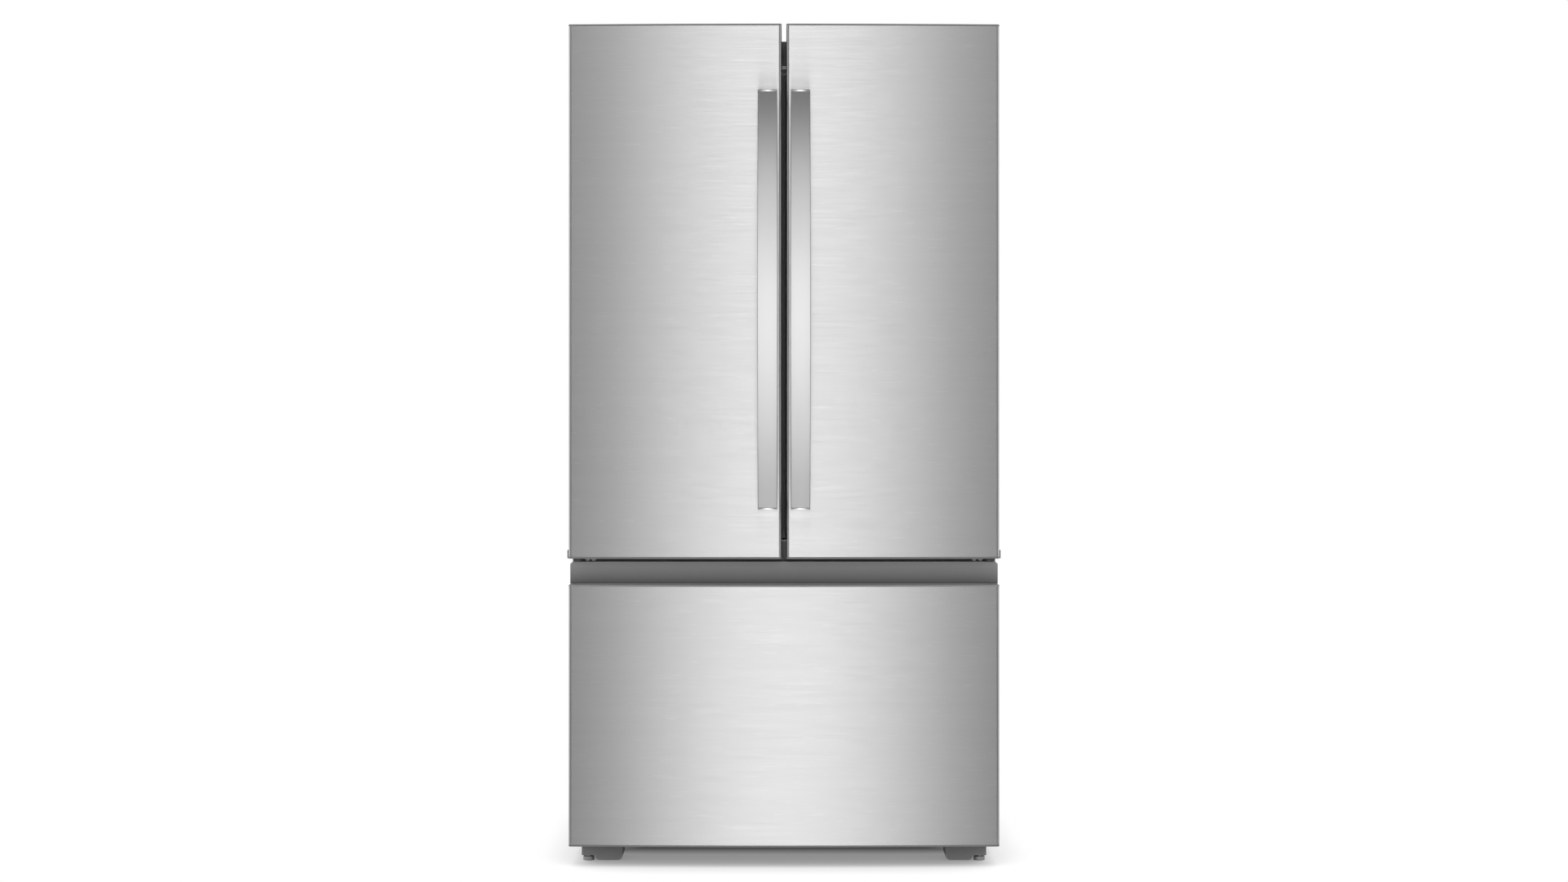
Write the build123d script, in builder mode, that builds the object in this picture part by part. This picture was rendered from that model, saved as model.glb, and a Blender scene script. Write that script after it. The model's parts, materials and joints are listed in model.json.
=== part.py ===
from build123d import *
import os
from math import sqrt

os.makedirs("parts", exist_ok=True)

# A french door refrigerator, 36-inch class, standing on the floor at z = 0.
# +X is the viewer's right, the front faces -Y, and the origin is under the middle of its box.
# All sizes are in millimetres.

# Fronts, from the floor up
drawer_bottom = 43.0
drawer_steel_height = 547.5
lip_band = 4.0
pocket_opening = 46.5
drawer_gap = 8.5
door_height = 1125.5

# Fronts, across and in depth
door_span = 908.0
door_overhang = 3.0
door_gap = 10.0
front_bow = 10.0
door_edge_depth = 70.0
edge_round = 6.0
skin = 1.2
cap_band = 4.0
door_liner = 3.0

# Cabinet
cabinet_depth = 706.0
cabinet_drop = 23.0
cabinet_corner = 6.0
rear_standoff = 10.0
sheet = 1.2
liner = 2.5
side_wall = 50.0
top_wall = 55.0
back_wall = 60.0
floor_wall = 60.0
room_corner = 12.0
base_lift = 2.0
base_plate = 2.0
rail_lap = 36.0
rail_flange = 25.0
panel_edge_room = 60.0
bead_height = 2.0

# Seals
gasket_gap = 12.0
gasket_width = 14.0
gasket_lap = 17.0
gasket_inset = 4.0
seal_clearance = 0.3

# Door hinges
hinge_side_inset = 17.0
hinge_back_inset = 25.0
pin_radius = 6.0
pin_length = 20.0
running_fit = 0.05
strap_thickness = 4.0
strap_half_width = 12.0
strap_seat = 90.0
cover_wall = 2.0
cover_height = 18.0
cover_width = 70.0
hinge_room = 3.0
hinge_notch_front = 32.0
hinge_block_wall = 8.0
hinge_block_height = 30.0
plate_clearance = 1.5
hinge_flange = 3.0
ear_height = 17.0
ear_depth = 26.0
ear_reach = 4.0
flange_width = 50.0

# Screws
screw_head_radius = 5.0
screw_head_height = 2.6
screw_radius = 2.5
screw_clearance = 0.2
strap_screw_first = 27.0
strap_screw_pitch = 22.5
strap_screw_count = 3
flange_screw_edge = 6.0
flange_screw_pitch = 13.0

# Handles
handle_reach = 62.0
handle_width = 40.0
handle_barrel = 1.0
handle_inset = 14.5
handle_rise = 104.0
handle_length = 877.5
handle_bow = 16.0
handle_thickness = 11.0
handle_round = 2.5
post_length = 32.0
post_band = 5.0

# Pocket grip of the drawer
grip_wall = 28.0
grip_width = 28.0
grip_depth = 25.0
grip_end = 19.0
grip_shell = 4.0
grip_corner = 5.0
lip_round = 1.8

# Door inside
dyke_reach = 45.0
dyke_width = 28.0
dyke_room = 11.0
dyke_round = 5.0
bin_depth = 112.0
bin_height = 110.0
bin_wall = 2.5
bin_corner = 14.0
bin_first = 245.0
bin_pitch = 255.0
bin_count = 3
lug_reach = 12.0
lug_height = 8.0
seat_clearance = 0.3

# Folding mullion on the left door
mullion_width = 44.5
mullion_thickness = 22.0
mullion_past_centre = 0.5
mullion_end_room = 17.0
mullion_room = 6.0
mullion_pin = 3.0
mullion_pin_length = 8.0
mullion_bracket = 8.0
mullion_bracket_width = 14.0
bracket_clearance = 1.0
guide_width = 42.0
guide_depth = 42.0
guide_wall = 4.0

# Fresh-food room
crisper_travel = 95.0
crisper_depth = 430.0
crisper_height = 198.0
crisper_wall = 3.0
crisper_pull = 12.0
crisper_lip = 24.0
crisper_corner = 12.0
crisper_middle_gap = 12.0
slide_room = 4.0
ledge_width = 16.0
ledge_height = 10.0
ledge_clearance = 2.0
frame_gap = 8.0
frame_height = 14.0
frame_rim = 12.0
frame_ledge = 8.0
frame_side_room = 3.0
glass_thickness = 4.0
glass_clearance = 0.4
shelf_levels_left = (290.0, 560.0)
shelf_levels_right = (240.0, 500.0)
shelf_middle_gap = 10.0
arm_width = 8.0
arm_drop = 24.0
track_width = 12.0
track_depth = 10.0
track_side_inset = 26.0
track_top_room = 40.0
track_slot = 4.0
slot_height = 16.0
slot_pitch = 30.0
tower_width = 120.0
tower_depth = 28.0
tower_top_room = 40.0
vent_height = 8.0
vent_length = 38.0
vent_pitch = 55.0
vent_depth = 6.0
panel_width = 330.0
panel_depth = 150.0
panel_height = 24.0
panel_setback = 60.0
panel_edge = 6.0
lamp_width = 220.0
lamp_depth = 46.0
lamp_recess = 3.0

# Freezer room
drawer_travel = 400.0
slide_level = 160.0
slide_overtravel = 20.0
slide_height = 36.0
slide_width = 14.0
slide_web = 2.5
slide_play = 0.5
slide_shelf = 18.0
slide_shelf_rise = 26.0
slide_shelf_thickness = 4.0
slide_foot = 46.0
freezer_bin_floor = 20.0
freezer_bin_height = 275.0
freezer_bin_depth = 365.0
freezer_bin_wall = 3.0
freezer_bin_corner = 20.0
basket_travel = 170.0
basket_depth = 340.0
basket_height = 100.0
basket_rim = 6.0
basket_level = 411.0
basket_ledge = 27.0

# Cooling pieces
machine_depth = 235.0
machine_height = 215.0
bulkhead_run = 60.0
bulkhead_foam = 45.0
compressor_radius = 80.0
compressor_height = 150.0
can_shoulder = 48.0
compressor_foot = 10.0
compressor_plate = 4.0
compressor_x = 230.0
fin_thickness = 1.5
tube_radius = 4.0
tube_rows = 2
tube_levels = 3
condenser_left_room = 50.0
condenser_length = 250.0
condenser_depth = 150.0
condenser_height = 130.0
condenser_fins = 18
evaporator_length = 500.0
evaporator_depth = 42.0
evaporator_height = 150.0
evaporator_fins = 26
cover_setback = 65.0
cover_thickness = 3.0
fan_shaft = 3.0
condenser_fan_radius = 70.0
evaporator_fan_radius = 42.0
fan_hub = 16.0
fan_depth = 22.0
fan_blade = 2.0
fan_room = 4.0
fan_blades = 5
fan_pitch = 32.0
bracket_wall = 4.0
motor_radius = 26.0
motor_length = 40.0
pan_height = 24.0
pan_wall = 2.0
machine_cover_edge = 2.0
vent_rows = 5
vent_columns = 12
louvre_length = 36.0
louvre_height = 7.0
louvre_pitch = 52.0
louvre_rise = 24.0
inlet_width = 60.0
inlet_height = 40.0
inlet_socket_width = 40.0
inlet_socket_height = 26.0
return_vents = 10
return_pitch = 60.0
return_length = 40.0
return_height = 10.0
return_rise = 20.0

# Feet, legs and rollers
foot_inset = 22.0
foot_width = 87.0
foot_depth = 76.0
foot_front_room = 2.0
foot_leg_width = 28.0
foot_leg_lift = 12.0
foot_lift = 2.0
foot_round = 10.0
leg_radius = 12.0
leg_height = 8.0
leg_stud = 5.0
leg_stud_room = 4.0
front_roller_radius = 19.0
front_roller_lift = 3.0
rear_roller_radius = 22.0
roller_width = 24.0
roller_axle = 4.0
roller_side_room = 2.0
fork_wall = 4.0
rear_roller_inset = 52.0
rear_roller_setback = 55.0

# Heights that follow
drawer_steel_top = drawer_bottom + drawer_steel_height
lip_top = drawer_steel_top + lip_band
pocket_top = lip_top + pocket_opening
door_bottom = pocket_top + drawer_gap
door_top = door_bottom + door_height
cabinet_top = door_top - cabinet_drop
base_bottom = drawer_bottom + base_lift
base_top = base_bottom + base_plate
freezer_floor = base_bottom + floor_wall
freezer_ceiling = pocket_top - rail_lap
fresh_floor = door_bottom + rail_lap
ceiling = cabinet_top - top_wall
machine_top = base_bottom + machine_height
step_top = machine_top + bulkhead_foam

# Depths that follow, from the handles back
depth_parts = (handle_reach, front_bow, door_edge_depth, gasket_gap, cabinet_depth, rear_standoff)
handle_front = -sum(depth_parts) / 2
crest = handle_front + handle_reach
face_edge = crest + front_bow
door_back = face_edge + door_edge_depth
cabinet_front = door_back + gasket_gap
cabinet_back = cabinet_front + cabinet_depth
room_back = cabinet_back - back_wall
machine_front = cabinet_back - machine_depth
bulkhead_foot = machine_front - bulkhead_run

# Widths that follow
half_span = door_span / 2
half_cabinet = half_span - door_overhang
half_room = half_cabinet - side_wall
half_opening = half_room + liner
outer_side = -half_span
inner_side = -door_gap / 2
hinge_x = outer_side + hinge_side_inset
hinge_y = door_back - hinge_back_inset
cover_half_width = strap_half_width + cover_wall
notch_inner = hinge_x + cover_half_width + hinge_room
notch_front = hinge_y - hinge_notch_front
notch_floor = cabinet_top - hinge_room
mullion_left = mullion_past_centre - mullion_width
pivot_x = mullion_left + mullion_thickness / 2
pivot_y = cabinet_front + mullion_thickness / 2
bow_radius = (half_span**2 + front_bow**2) / (2 * front_bow)
bow_centre = crest + bow_radius


def face_y(x, inset=0.0):
    """Depth of the bowed front at x, brought in by inset."""
    return bow_centre - sqrt((bow_radius - inset) ** 2 - x**2)


def block(x0, x1, y0, y1, z0, z1, mode=Mode.ADD):
    """A box between two corners."""
    with Locations(((x0 + x1) / 2, (y0 + y1) / 2, (z0 + z1) / 2)):
        Box(x1 - x0, y1 - y0, z1 - z0, mode=mode)


def rounded_block(x0, x1, y0, y1, z0, z1, radius, mode=Mode.ADD):
    """A box with rounded upright edges."""
    with BuildSketch(Plane.XY.offset(z0)) as plan:
        with Locations(((x0 + x1) / 2, (y0 + y1) / 2)):
            RectangleRounded(x1 - x0, y1 - y0, radius)
    extrude(plan.sketch, amount=z1 - z0, mode=mode)


def tray(x0, x1, y0, y1, z0, z1, wall, radius):
    """An open-topped box with rounded upright edges."""
    rounded_block(x0, x1, y0, y1, z0, z1, radius)
    inner = radius - wall
    rounded_block(x0 + wall, x1 - wall, y0 + wall, y1 - wall, z0 + wall, z1, inner, Mode.SUBTRACT)


def ring(x0, x1, y0, y1, z0, z1, width, mode=Mode.ADD):
    """An upright frame in the XZ plane, of one width all round."""
    with BuildSketch(Plane.XZ.offset(-y0)) as frame:
        with Locations(((x0 + x1) / 2, (z0 + z1) / 2)):
            Rectangle(x1 - x0, z1 - z0)
            Rectangle(x1 - x0 - 2 * width, z1 - z0 - 2 * width, mode=Mode.SUBTRACT)
    extrude(frame.sketch, amount=y0 - y1, mode=mode)


def rod(x, y, z0, z1, radius, mode=Mode.ADD):
    """An upright round bar."""
    with Locations((x, y, (z0 + z1) / 2)):
        Cylinder(radius, z1 - z0, mode=mode)


def cross_rod(x0, x1, y, z, radius, mode=Mode.ADD):
    """A round bar along X."""
    with Locations(((x0 + x1) / 2, y, z)):
        Cylinder(radius, x1 - x0, rotation=(0, 90, 0), mode=mode)


def depth_rod(x, y0, y1, z, radius, mode=Mode.ADD):
    """A round bar along Y."""
    with Locations((x, (y0 + y1) / 2, z)):
        Cylinder(radius, y1 - y0, rotation=(90, 0, 0), mode=mode)


def bowed_plan(x0, x1, back, z, inset=0.0):
    """Plan of a front: straight back and sides, bowed face, rounded front corners."""
    left = x0 + inset
    right = x1 - inset
    middle = (left + right) / 2
    with BuildSketch(Plane.XY.offset(z)) as plan:
        with BuildLine():
            face = ThreePointArc(
                (left, face_y(left, inset)),
                (middle, face_y(middle, inset)),
                (right, face_y(right, inset)),
            )
            Polyline(face @ 1, (right, back), (left, back), face @ 0)
        make_face()
        fillet(plan.vertices().sort_by(Axis.Y)[:2], radius=edge_round - inset)
    return plan.sketch


def side_prism(points, half_width, mode=Mode.ADD):
    """A prism along X from an outline in the YZ plane."""
    with BuildSketch(Plane.YZ.offset(-half_width)) as section:
        with BuildLine():
            Polyline(*points, close=True)
        make_face()
    extrude(section.sketch, amount=2 * half_width, mode=mode)


def cabinet_arch(inset, y0, y1):
    """The cabinet's outline seen from the front, rounded at its upper corners, drawn through its depth."""
    half = half_cabinet - inset
    with BuildSketch(Plane.XZ.offset(-y0)) as arch:
        with BuildLine():
            Polyline(
                (-half, base_bottom), (half, base_bottom), (half, cabinet_top - inset),
                (-half, cabinet_top - inset), close=True,
            )
        make_face()
        fillet(arch.vertices().group_by(Axis.Z)[-1], radius=cabinet_corner - inset)
    return extrude(arch.sketch, amount=y0 - y1, mode=Mode.PRIVATE)


def blocks(places, width, depth, height, mode=Mode.ADD):
    """Equal boxes, one centred on each place."""
    with Locations(*places):
        Box(width, depth, height, mode=mode)


def fins(x0, x1, y0, y1, z0, z1, count):
    """Upright fin plates in a row along X, joined by tubes that run through them."""
    pitch = (x1 - x0 - fin_thickness) / (count - 1)
    first = x0 + fin_thickness / 2
    plates = [(first + index * pitch, (y0 + y1) / 2, (z0 + z1) / 2) for index in range(count)]
    blocks(plates, fin_thickness, y1 - y0, z1 - z0)
    row_pitch = (y1 - y0) / tube_rows
    level_pitch = (z1 - z0) / tube_levels
    rows = [y0 + (index + 0.5) * row_pitch for index in range(tube_rows)]
    levels = [z0 + (index + 0.5) * level_pitch for index in range(tube_levels)]
    with Locations(*[((x0 + x1) / 2, y, z) for y in rows for z in levels]):
        Cylinder(tube_radius, x1 - x0, rotation=(0, 90, 0))


def both_sides(piece, name):
    """Writes a left-hand piece and its mirror image."""
    piece.part.label = "left_" + name
    export_step(piece.part, "parts/left_" + name + ".step")
    with BuildPart() as mirrored:
        mirror(piece.part, about=Plane.YZ)
    mirrored.part.label = "right_" + name
    export_step(mirrored.part, "parts/right_" + name + ".step")


# Cabinet wrapper: one folded sheet for sides and top, with a front flange for the seals
with BuildPart() as cabinet_wrapper:
    add(cabinet_arch(0.0, cabinet_front, cabinet_back))
    add(cabinet_arch(sheet, cabinet_front + sheet, cabinet_back), mode=Mode.SUBTRACT)
    block(
        -half_cabinet + sheet, half_cabinet - sheet,
        cabinet_front + sheet, cabinet_back, base_bottom, base_bottom + cabinet_corner,
        Mode.SUBTRACT,
    )
    block(
        -half_opening, half_opening, cabinet_front, cabinet_front + sheet,
        base_bottom, ceiling + liner, Mode.SUBTRACT,
    )
cabinet_wrapper.part.label = "cabinet_wrapper"
export_step(cabinet_wrapper.part, "parts/cabinet_wrapper.step")

# Rear panel above the machine room, with two raised stiffening fields
with BuildPart() as rear_panel:
    block(
        -half_cabinet + sheet, half_cabinet - sheet, cabinet_back - sheet, cabinet_back,
        machine_top + base_plate, cabinet_top - cabinet_corner,
    )
    panel_middle = (machine_top + cabinet_top) / 2
    for z0, z1 in ((machine_top, panel_middle), (panel_middle, cabinet_top)):
        block(
            -half_cabinet + panel_edge_room, half_cabinet - panel_edge_room,
            cabinet_back, cabinet_back + bead_height, z0 + panel_edge_room, z1 - panel_edge_room,
        )
rear_panel.part.label = "rear_panel"
export_step(rear_panel.part, "parts/rear_panel.step")

# Base pan: floor plate, front rail, bulkhead of the machine room and the rear roller forks
roller_y = cabinet_back - rear_roller_setback
fork_half = roller_width / 2 + roller_side_room
with BuildPart() as base_pan:
    half_base = half_cabinet - sheet
    block(-half_base, half_base, cabinet_front + sheet, cabinet_back - sheet, base_bottom, base_top)
    block(
        -half_opening, half_opening, cabinet_front, cabinet_front + sheet,
        base_bottom, freezer_floor - liner,
    )
    side_prism(
        (
            (bulkhead_foot, base_top),
            (machine_front, machine_top),
            (cabinet_back - sheet, machine_top),
            (cabinet_back - sheet, machine_top + base_plate),
            (machine_front - base_plate, machine_top + base_plate),
            (bulkhead_foot - base_plate, base_top),
        ),
        half_base,
    )
    for side in (-1, 1):
        middle = side * (half_cabinet - rear_roller_inset)
        for cheek in (-1, 1):
            near = middle + cheek * fork_half
            far = near + cheek * fork_wall
            block(
                min(near, far), max(near, far), roller_y - rear_roller_radius / 2,
                roller_y + rear_roller_radius / 2, rear_roller_radius / 2, base_bottom,
            )
        reach = fork_half + fork_wall
        cross_rod(
            middle - reach, middle + reach, roller_y, rear_roller_radius,
            roller_axle + running_fit, Mode.SUBTRACT,
        )
base_pan.part.label = "base_pan"
export_step(base_pan.part, "parts/base_pan.step")

# Fresh-food liner: a moulded box, open in front, with ledges for the crisper shelf
crisper_front = door_back + dyke_reach + crisper_travel + slide_room
crisper_back = crisper_front + crisper_depth
crisper_top = fresh_floor + seat_clearance + crisper_height
shelf_base = crisper_top + frame_gap
shelf_back = room_back - tower_depth - slide_room
bar_bottom = fresh_floor + mullion_end_room
bar_top = ceiling - mullion_end_room
with BuildPart() as fresh_food_liner:
    block(
        -half_opening, half_opening, cabinet_front, room_back + liner,
        fresh_floor - liner, ceiling + liner,
    )
    with BuildSketch(Plane.XZ.offset(-cabinet_front)) as room:
        with Locations((0, (fresh_floor + ceiling) / 2)):
            RectangleRounded(2 * half_room, ceiling - fresh_floor, room_corner)
    extrude(amount=cabinet_front - room_back, mode=Mode.SUBTRACT)
    for side in (-1, 1):
        block(
            min(side * half_room, side * (half_room - ledge_width)),
            max(side * half_room, side * (half_room - ledge_width)),
            crisper_front, shelf_back, shelf_base - ledge_height, shelf_base,
        )
    guide_floor = bar_top + hinge_room
    guide_front = cabinet_front + hinge_room
    block(
        -guide_width / 2, guide_width / 2, guide_front, guide_front + guide_depth,
        guide_floor, ceiling,
    )
    block(
        -guide_width / 2 + guide_wall, guide_width / 2 - guide_wall, guide_front,
        guide_front + guide_depth - guide_wall, guide_floor, ceiling - guide_wall, Mode.SUBTRACT,
    )
fresh_food_liner.part.label = "fresh_food_liner"
export_step(fresh_food_liner.part, "parts/fresh_food_liner.step")

# Freezer liner: its floor steps up over the machine room, and ledges carry the upper basket
slope_foot = bulkhead_foot - bulkhead_foam
slope_head = machine_front - bulkhead_foam
basket_seat = freezer_floor + basket_level


def freezer_outline(grow):
    """Side outline of the freezer room, larger by grow on every closed side."""
    return (
        (cabinet_front, freezer_floor - grow),
        (slope_foot + grow, freezer_floor - grow),
        (slope_head + grow, step_top - grow),
        (room_back + grow, step_top - grow),
        (room_back + grow, freezer_ceiling + grow),
        (cabinet_front, freezer_ceiling + grow),
    )


basket_front = cabinet_front + basket_travel
basket_back = basket_front + basket_depth
with BuildPart() as freezer_liner:
    side_prism(freezer_outline(liner), half_opening)
    side_prism(freezer_outline(0.0), half_room, Mode.SUBTRACT)
    for side in (-1, 1):
        block(
            min(side * half_room, side * (half_room - basket_ledge)),
            max(side * half_room, side * (half_room - basket_ledge)),
            cabinet_front + slide_room, basket_back, basket_seat - ledge_height, basket_seat,
        )
freezer_liner.part.label = "freezer_liner"
export_step(freezer_liner.part, "parts/freezer_liner.step")

# Middle rail: a steel channel across the front, between the two rooms
with BuildPart() as middle_rail:
    rail_bottom = freezer_ceiling + liner
    rail_top = fresh_floor - liner
    block(-half_opening, half_opening, cabinet_front, cabinet_front + rail_flange, rail_bottom, rail_top)
    block(
        -half_opening, half_opening, cabinet_front + sheet, cabinet_front + rail_flange,
        rail_bottom + sheet, rail_top - sheet, Mode.SUBTRACT,
    )
middle_rail.part.label = "middle_rail"
export_step(middle_rail.part, "parts/middle_rail.step")

# Foam between the wrapper and the liners
with BuildPart() as cabinet_foam:
    add(cabinet_arch(sheet, cabinet_front + sheet, cabinet_back - sheet))
    block(
        -half_opening, half_opening, cabinet_front, room_back + liner,
        fresh_floor - liner, ceiling + liner, Mode.SUBTRACT,
    )
    side_prism(freezer_outline(liner), half_opening, Mode.SUBTRACT)
    side_prism(
        (
            (bulkhead_foot - base_plate, base_top),
            (machine_front - base_plate, machine_top + base_plate),
            (cabinet_back, machine_top + base_plate),
            (cabinet_back, base_bottom),
            (cabinet_front, base_bottom),
            (cabinet_front, base_top),
        ),
        half_cabinet, Mode.SUBTRACT,
    )
    add(middle_rail.part, mode=Mode.SUBTRACT)
cabinet_foam.part.label = "cabinet_foam"
export_step(cabinet_foam.part, "parts/cabinet_foam.step")

# Door skin: a bowed steel sheet folded back at both sides
skin_bottom = door_bottom + cap_band
skin_top = door_top - cap_band
with BuildPart() as door_skin:
    extrude(bowed_plan(outer_side, inner_side, door_back, skin_bottom), amount=skin_top - skin_bottom)
    extrude(
        bowed_plan(outer_side, inner_side, door_back + edge_round, skin_bottom, skin),
        amount=skin_top - skin_bottom, mode=Mode.SUBTRACT,
    )
    block(outer_side, notch_inner, notch_front, door_back, notch_floor, door_top, Mode.SUBTRACT)
both_sides(door_skin, "door_skin")

# End caps of a door: each carries a hinge bush block, and the lower one ends in a small outer ear
block_inner = notch_inner + hinge_block_wall
block_front = face_edge + edge_round
block_back = door_back - door_liner
upper_block_bottom = notch_floor - hinge_block_height
lower_block_top = skin_bottom + hinge_block_height
with BuildPart() as door_caps:
    extrude(bowed_plan(outer_side, inner_side, door_back, skin_top), amount=cap_band)
    block(outer_side + skin, block_inner, block_front, block_back, upper_block_bottom, skin_top)
    block(
        outer_side - skin, notch_inner, notch_front, door_back + skin, notch_floor, door_top, Mode.SUBTRACT,
    )
    rod(
        hinge_x, hinge_y, notch_floor - pin_length - hinge_room, notch_floor,
        pin_radius + running_fit, Mode.SUBTRACT,
    )
    extrude(bowed_plan(outer_side, inner_side, door_back, door_bottom), amount=cap_band)
    block(outer_side + skin, block_inner, block_front, block_back, skin_bottom, lower_block_top)
    block(
        outer_side - ear_reach, outer_side, hinge_y - ear_depth, hinge_y,
        door_bottom, door_bottom + ear_height,
    )
    rod(hinge_x, hinge_y, door_bottom, lower_block_top, pin_radius + running_fit, Mode.SUBTRACT)
both_sides(door_caps, "door_caps")

# Inner panel of a door: a formed sheet with a raised dyke that holds the bins
dyke_left = -half_room + dyke_room
dyke_right = mullion_left - mullion_room
dyke_bottom = fresh_floor + dyke_room
dyke_top = ceiling - dyke_room
bin_left = dyke_left + dyke_width + seat_clearance
bin_right = dyke_right - dyke_width - seat_clearance
bin_floors = [fresh_floor + bin_first + index * bin_pitch for index in range(bin_count)]
with BuildPart() as door_panel:
    ring(dyke_left, dyke_right, door_back, door_back + dyke_reach, dyke_bottom, dyke_top, dyke_width)
    fillet(door_panel.edges().group_by(Axis.Y)[-1], radius=dyke_round)
    block(outer_side + skin, inner_side - skin, block_back, door_back, skin_bottom, skin_top)
    ring(
        dyke_left + door_liner, dyke_right - door_liner, block_back,
        door_back + dyke_reach - door_liner, dyke_bottom + door_liner, dyke_top - door_liner,
        dyke_width - 2 * door_liner, Mode.SUBTRACT,
    )
    block(outer_side, notch_inner, notch_front, door_back, notch_floor, door_top, Mode.SUBTRACT)
    for floor in bin_floors:
        for start in (bin_left - seat_clearance, bin_right + seat_clearance - lug_reach):
            block(
                start, start + lug_reach, door_back, door_back + dyke_reach - dyke_round,
                floor - lug_height, floor,
            )

# The left door's panel also carries the two mullion brackets
pin_hole = mullion_pin + running_fit
with BuildPart() as left_door_liner:
    add(door_panel.part)
    for start in (bar_top + bracket_clearance, bar_bottom - bracket_clearance - mullion_bracket):
        block(
            pivot_x - mullion_bracket_width / 2, pivot_x + mullion_bracket_width / 2, door_back,
            pivot_y + mullion_thickness / 2, start, start + mullion_bracket,
        )
        rod(pivot_x, pivot_y, start, start + mullion_bracket, pin_hole, Mode.SUBTRACT)
left_door_liner.part.label = "left_door_liner"
export_step(left_door_liner.part, "parts/left_door_liner.step")
with BuildPart() as right_door_liner:
    mirror(door_panel.part, about=Plane.YZ)
right_door_liner.part.label = "right_door_liner"
export_step(right_door_liner.part, "parts/right_door_liner.step")

# Foam of a door, which also fills the hollow of the dyke
with BuildPart() as door_foam:
    extrude(
        bowed_plan(outer_side, inner_side, block_back, skin_bottom, skin), amount=skin_top - skin_bottom,
    )
    ring(
        dyke_left + door_liner, dyke_right - door_liner, block_back,
        door_back + dyke_reach - door_liner, dyke_bottom + door_liner, dyke_top - door_liner,
        dyke_width - 2 * door_liner,
    )
    for z0, z1 in ((upper_block_bottom, skin_top), (skin_bottom, lower_block_top)):
        block(outer_side, block_inner, block_front, block_back, z0, z1, Mode.SUBTRACT)
both_sides(door_foam, "door_foam")

# Door gasket: a soft frame that meets the cabinet's front
with BuildPart() as door_gasket:
    ring(
        -half_room - gasket_lap - gasket_width, inner_side - gasket_inset,
        door_back, cabinet_front - seal_clearance,
        fresh_floor - gasket_lap - gasket_width, ceiling + gasket_lap + gasket_width, gasket_width,
    )
both_sides(door_gasket, "door_gasket")

# Door bins, seated on the lugs of the dyke
with BuildPart() as door_bins:
    for floor in bin_floors:
        bin_front = door_back + seat_clearance
        tray(
            bin_left, bin_right, bin_front, bin_front + bin_depth,
            floor, floor + bin_height, bin_wall, bin_corner,
        )
both_sides(door_bins, "door_bins")

# Door handle: a flat bar, bowed outward and a little wider in the middle, on two end posts
handle_inner = -handle_inset
handle_outer = handle_inner - handle_width
handle_low = door_bottom + handle_rise
handle_high = handle_low + handle_length
handle_middle_z = (handle_low + handle_high) / 2
handle_seat = face_y(handle_inner)
bar_low = handle_low + post_band
bar_high = handle_high - post_band
end_front = handle_front + handle_bow
with BuildPart() as handle:
    with BuildSketch(Plane.YZ.offset(handle_outer - handle_barrel)) as side_view:
        with BuildLine():
            front_arc = ThreePointArc(
                (end_front, bar_low), (handle_front, handle_middle_z), (end_front, bar_high)
            )
            back_arc = ThreePointArc(
                (end_front + handle_thickness, bar_low),
                (handle_front + handle_thickness, handle_middle_z),
                (end_front + handle_thickness, bar_high),
            )
            Line(front_arc @ 0, back_arc @ 0)
            Line(front_arc @ 1, back_arc @ 1)
        make_face()
    extrude(amount=handle_width + 2 * handle_barrel)
    with BuildSketch(Plane.XZ.offset(-face_edge)) as front_view:
        with BuildLine():
            left_arc = ThreePointArc(
                (handle_outer, bar_low),
                (handle_outer - handle_barrel, handle_middle_z),
                (handle_outer, bar_high),
            )
            right_arc = ThreePointArc(
                (handle_inner, bar_low),
                (handle_inner + handle_barrel, handle_middle_z),
                (handle_inner, bar_high),
            )
            Line(left_arc @ 0, right_arc @ 0)
            Line(left_arc @ 1, right_arc @ 1)
        make_face()
    extrude(amount=face_edge - handle_front, mode=Mode.INTERSECT)
    long_edges = handle.edges().filter_by(lambda edge: edge.length > handle_length / 2)
    fillet(long_edges, radius=handle_round)
both_sides(handle, "handle")

# End posts of a handle: each closes one end of the bar and reaches back to the door
with BuildPart() as handle_posts:
    for start, inward in ((handle_low, 1), (handle_high, -1)):
        band_end = start + inward * post_band
        foot_end = start + inward * post_length
        bar_back = end_front + handle_thickness
        block(
            handle_outer, handle_inner, end_front, handle_seat, min(start, band_end), max(start, band_end),
        )
        block(
            handle_outer, handle_inner, bar_back, handle_seat, min(start, foot_end), max(start, foot_end),
        )
    post_ends = handle_posts.faces().filter_by(Axis.Z).sort_by(Axis.Z)
    fillet(post_ends[0].edges().sort_by(Axis.Y)[0], radius=post_band / 2)
    post_ends = handle_posts.faces().filter_by(Axis.Z).sort_by(Axis.Z)
    fillet(post_ends[-1].edges().sort_by(Axis.Y)[0], radius=post_band / 2)
both_sides(handle_posts, "handle_posts")

# Folding mullion: hinged on the left door, it closes the gap between the doors from behind
with BuildPart() as mullion:
    with BuildSketch(Plane.XY.offset(bar_bottom)) as mullion_plan:
        with Locations(((pivot_x + mullion_past_centre) / 2, pivot_y)):
            Rectangle(mullion_past_centre - pivot_x, mullion_thickness)
        with Locations((pivot_x, pivot_y)):
            Circle(mullion_thickness / 2)
    extrude(amount=bar_top - bar_bottom)
    rod(pivot_x, pivot_y, bar_top, bar_top + mullion_pin_length, mullion_pin)
    rod(pivot_x, pivot_y, bar_bottom - mullion_pin_length, bar_bottom, mullion_pin)
    peg_x = mullion_past_centre - mullion_thickness / 2
    rod(peg_x, pivot_y, bar_top, bar_top + mullion_pin_length, mullion_pin)
mullion.part.label = "mullion"
export_step(mullion.part, "parts/mullion.step")

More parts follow.
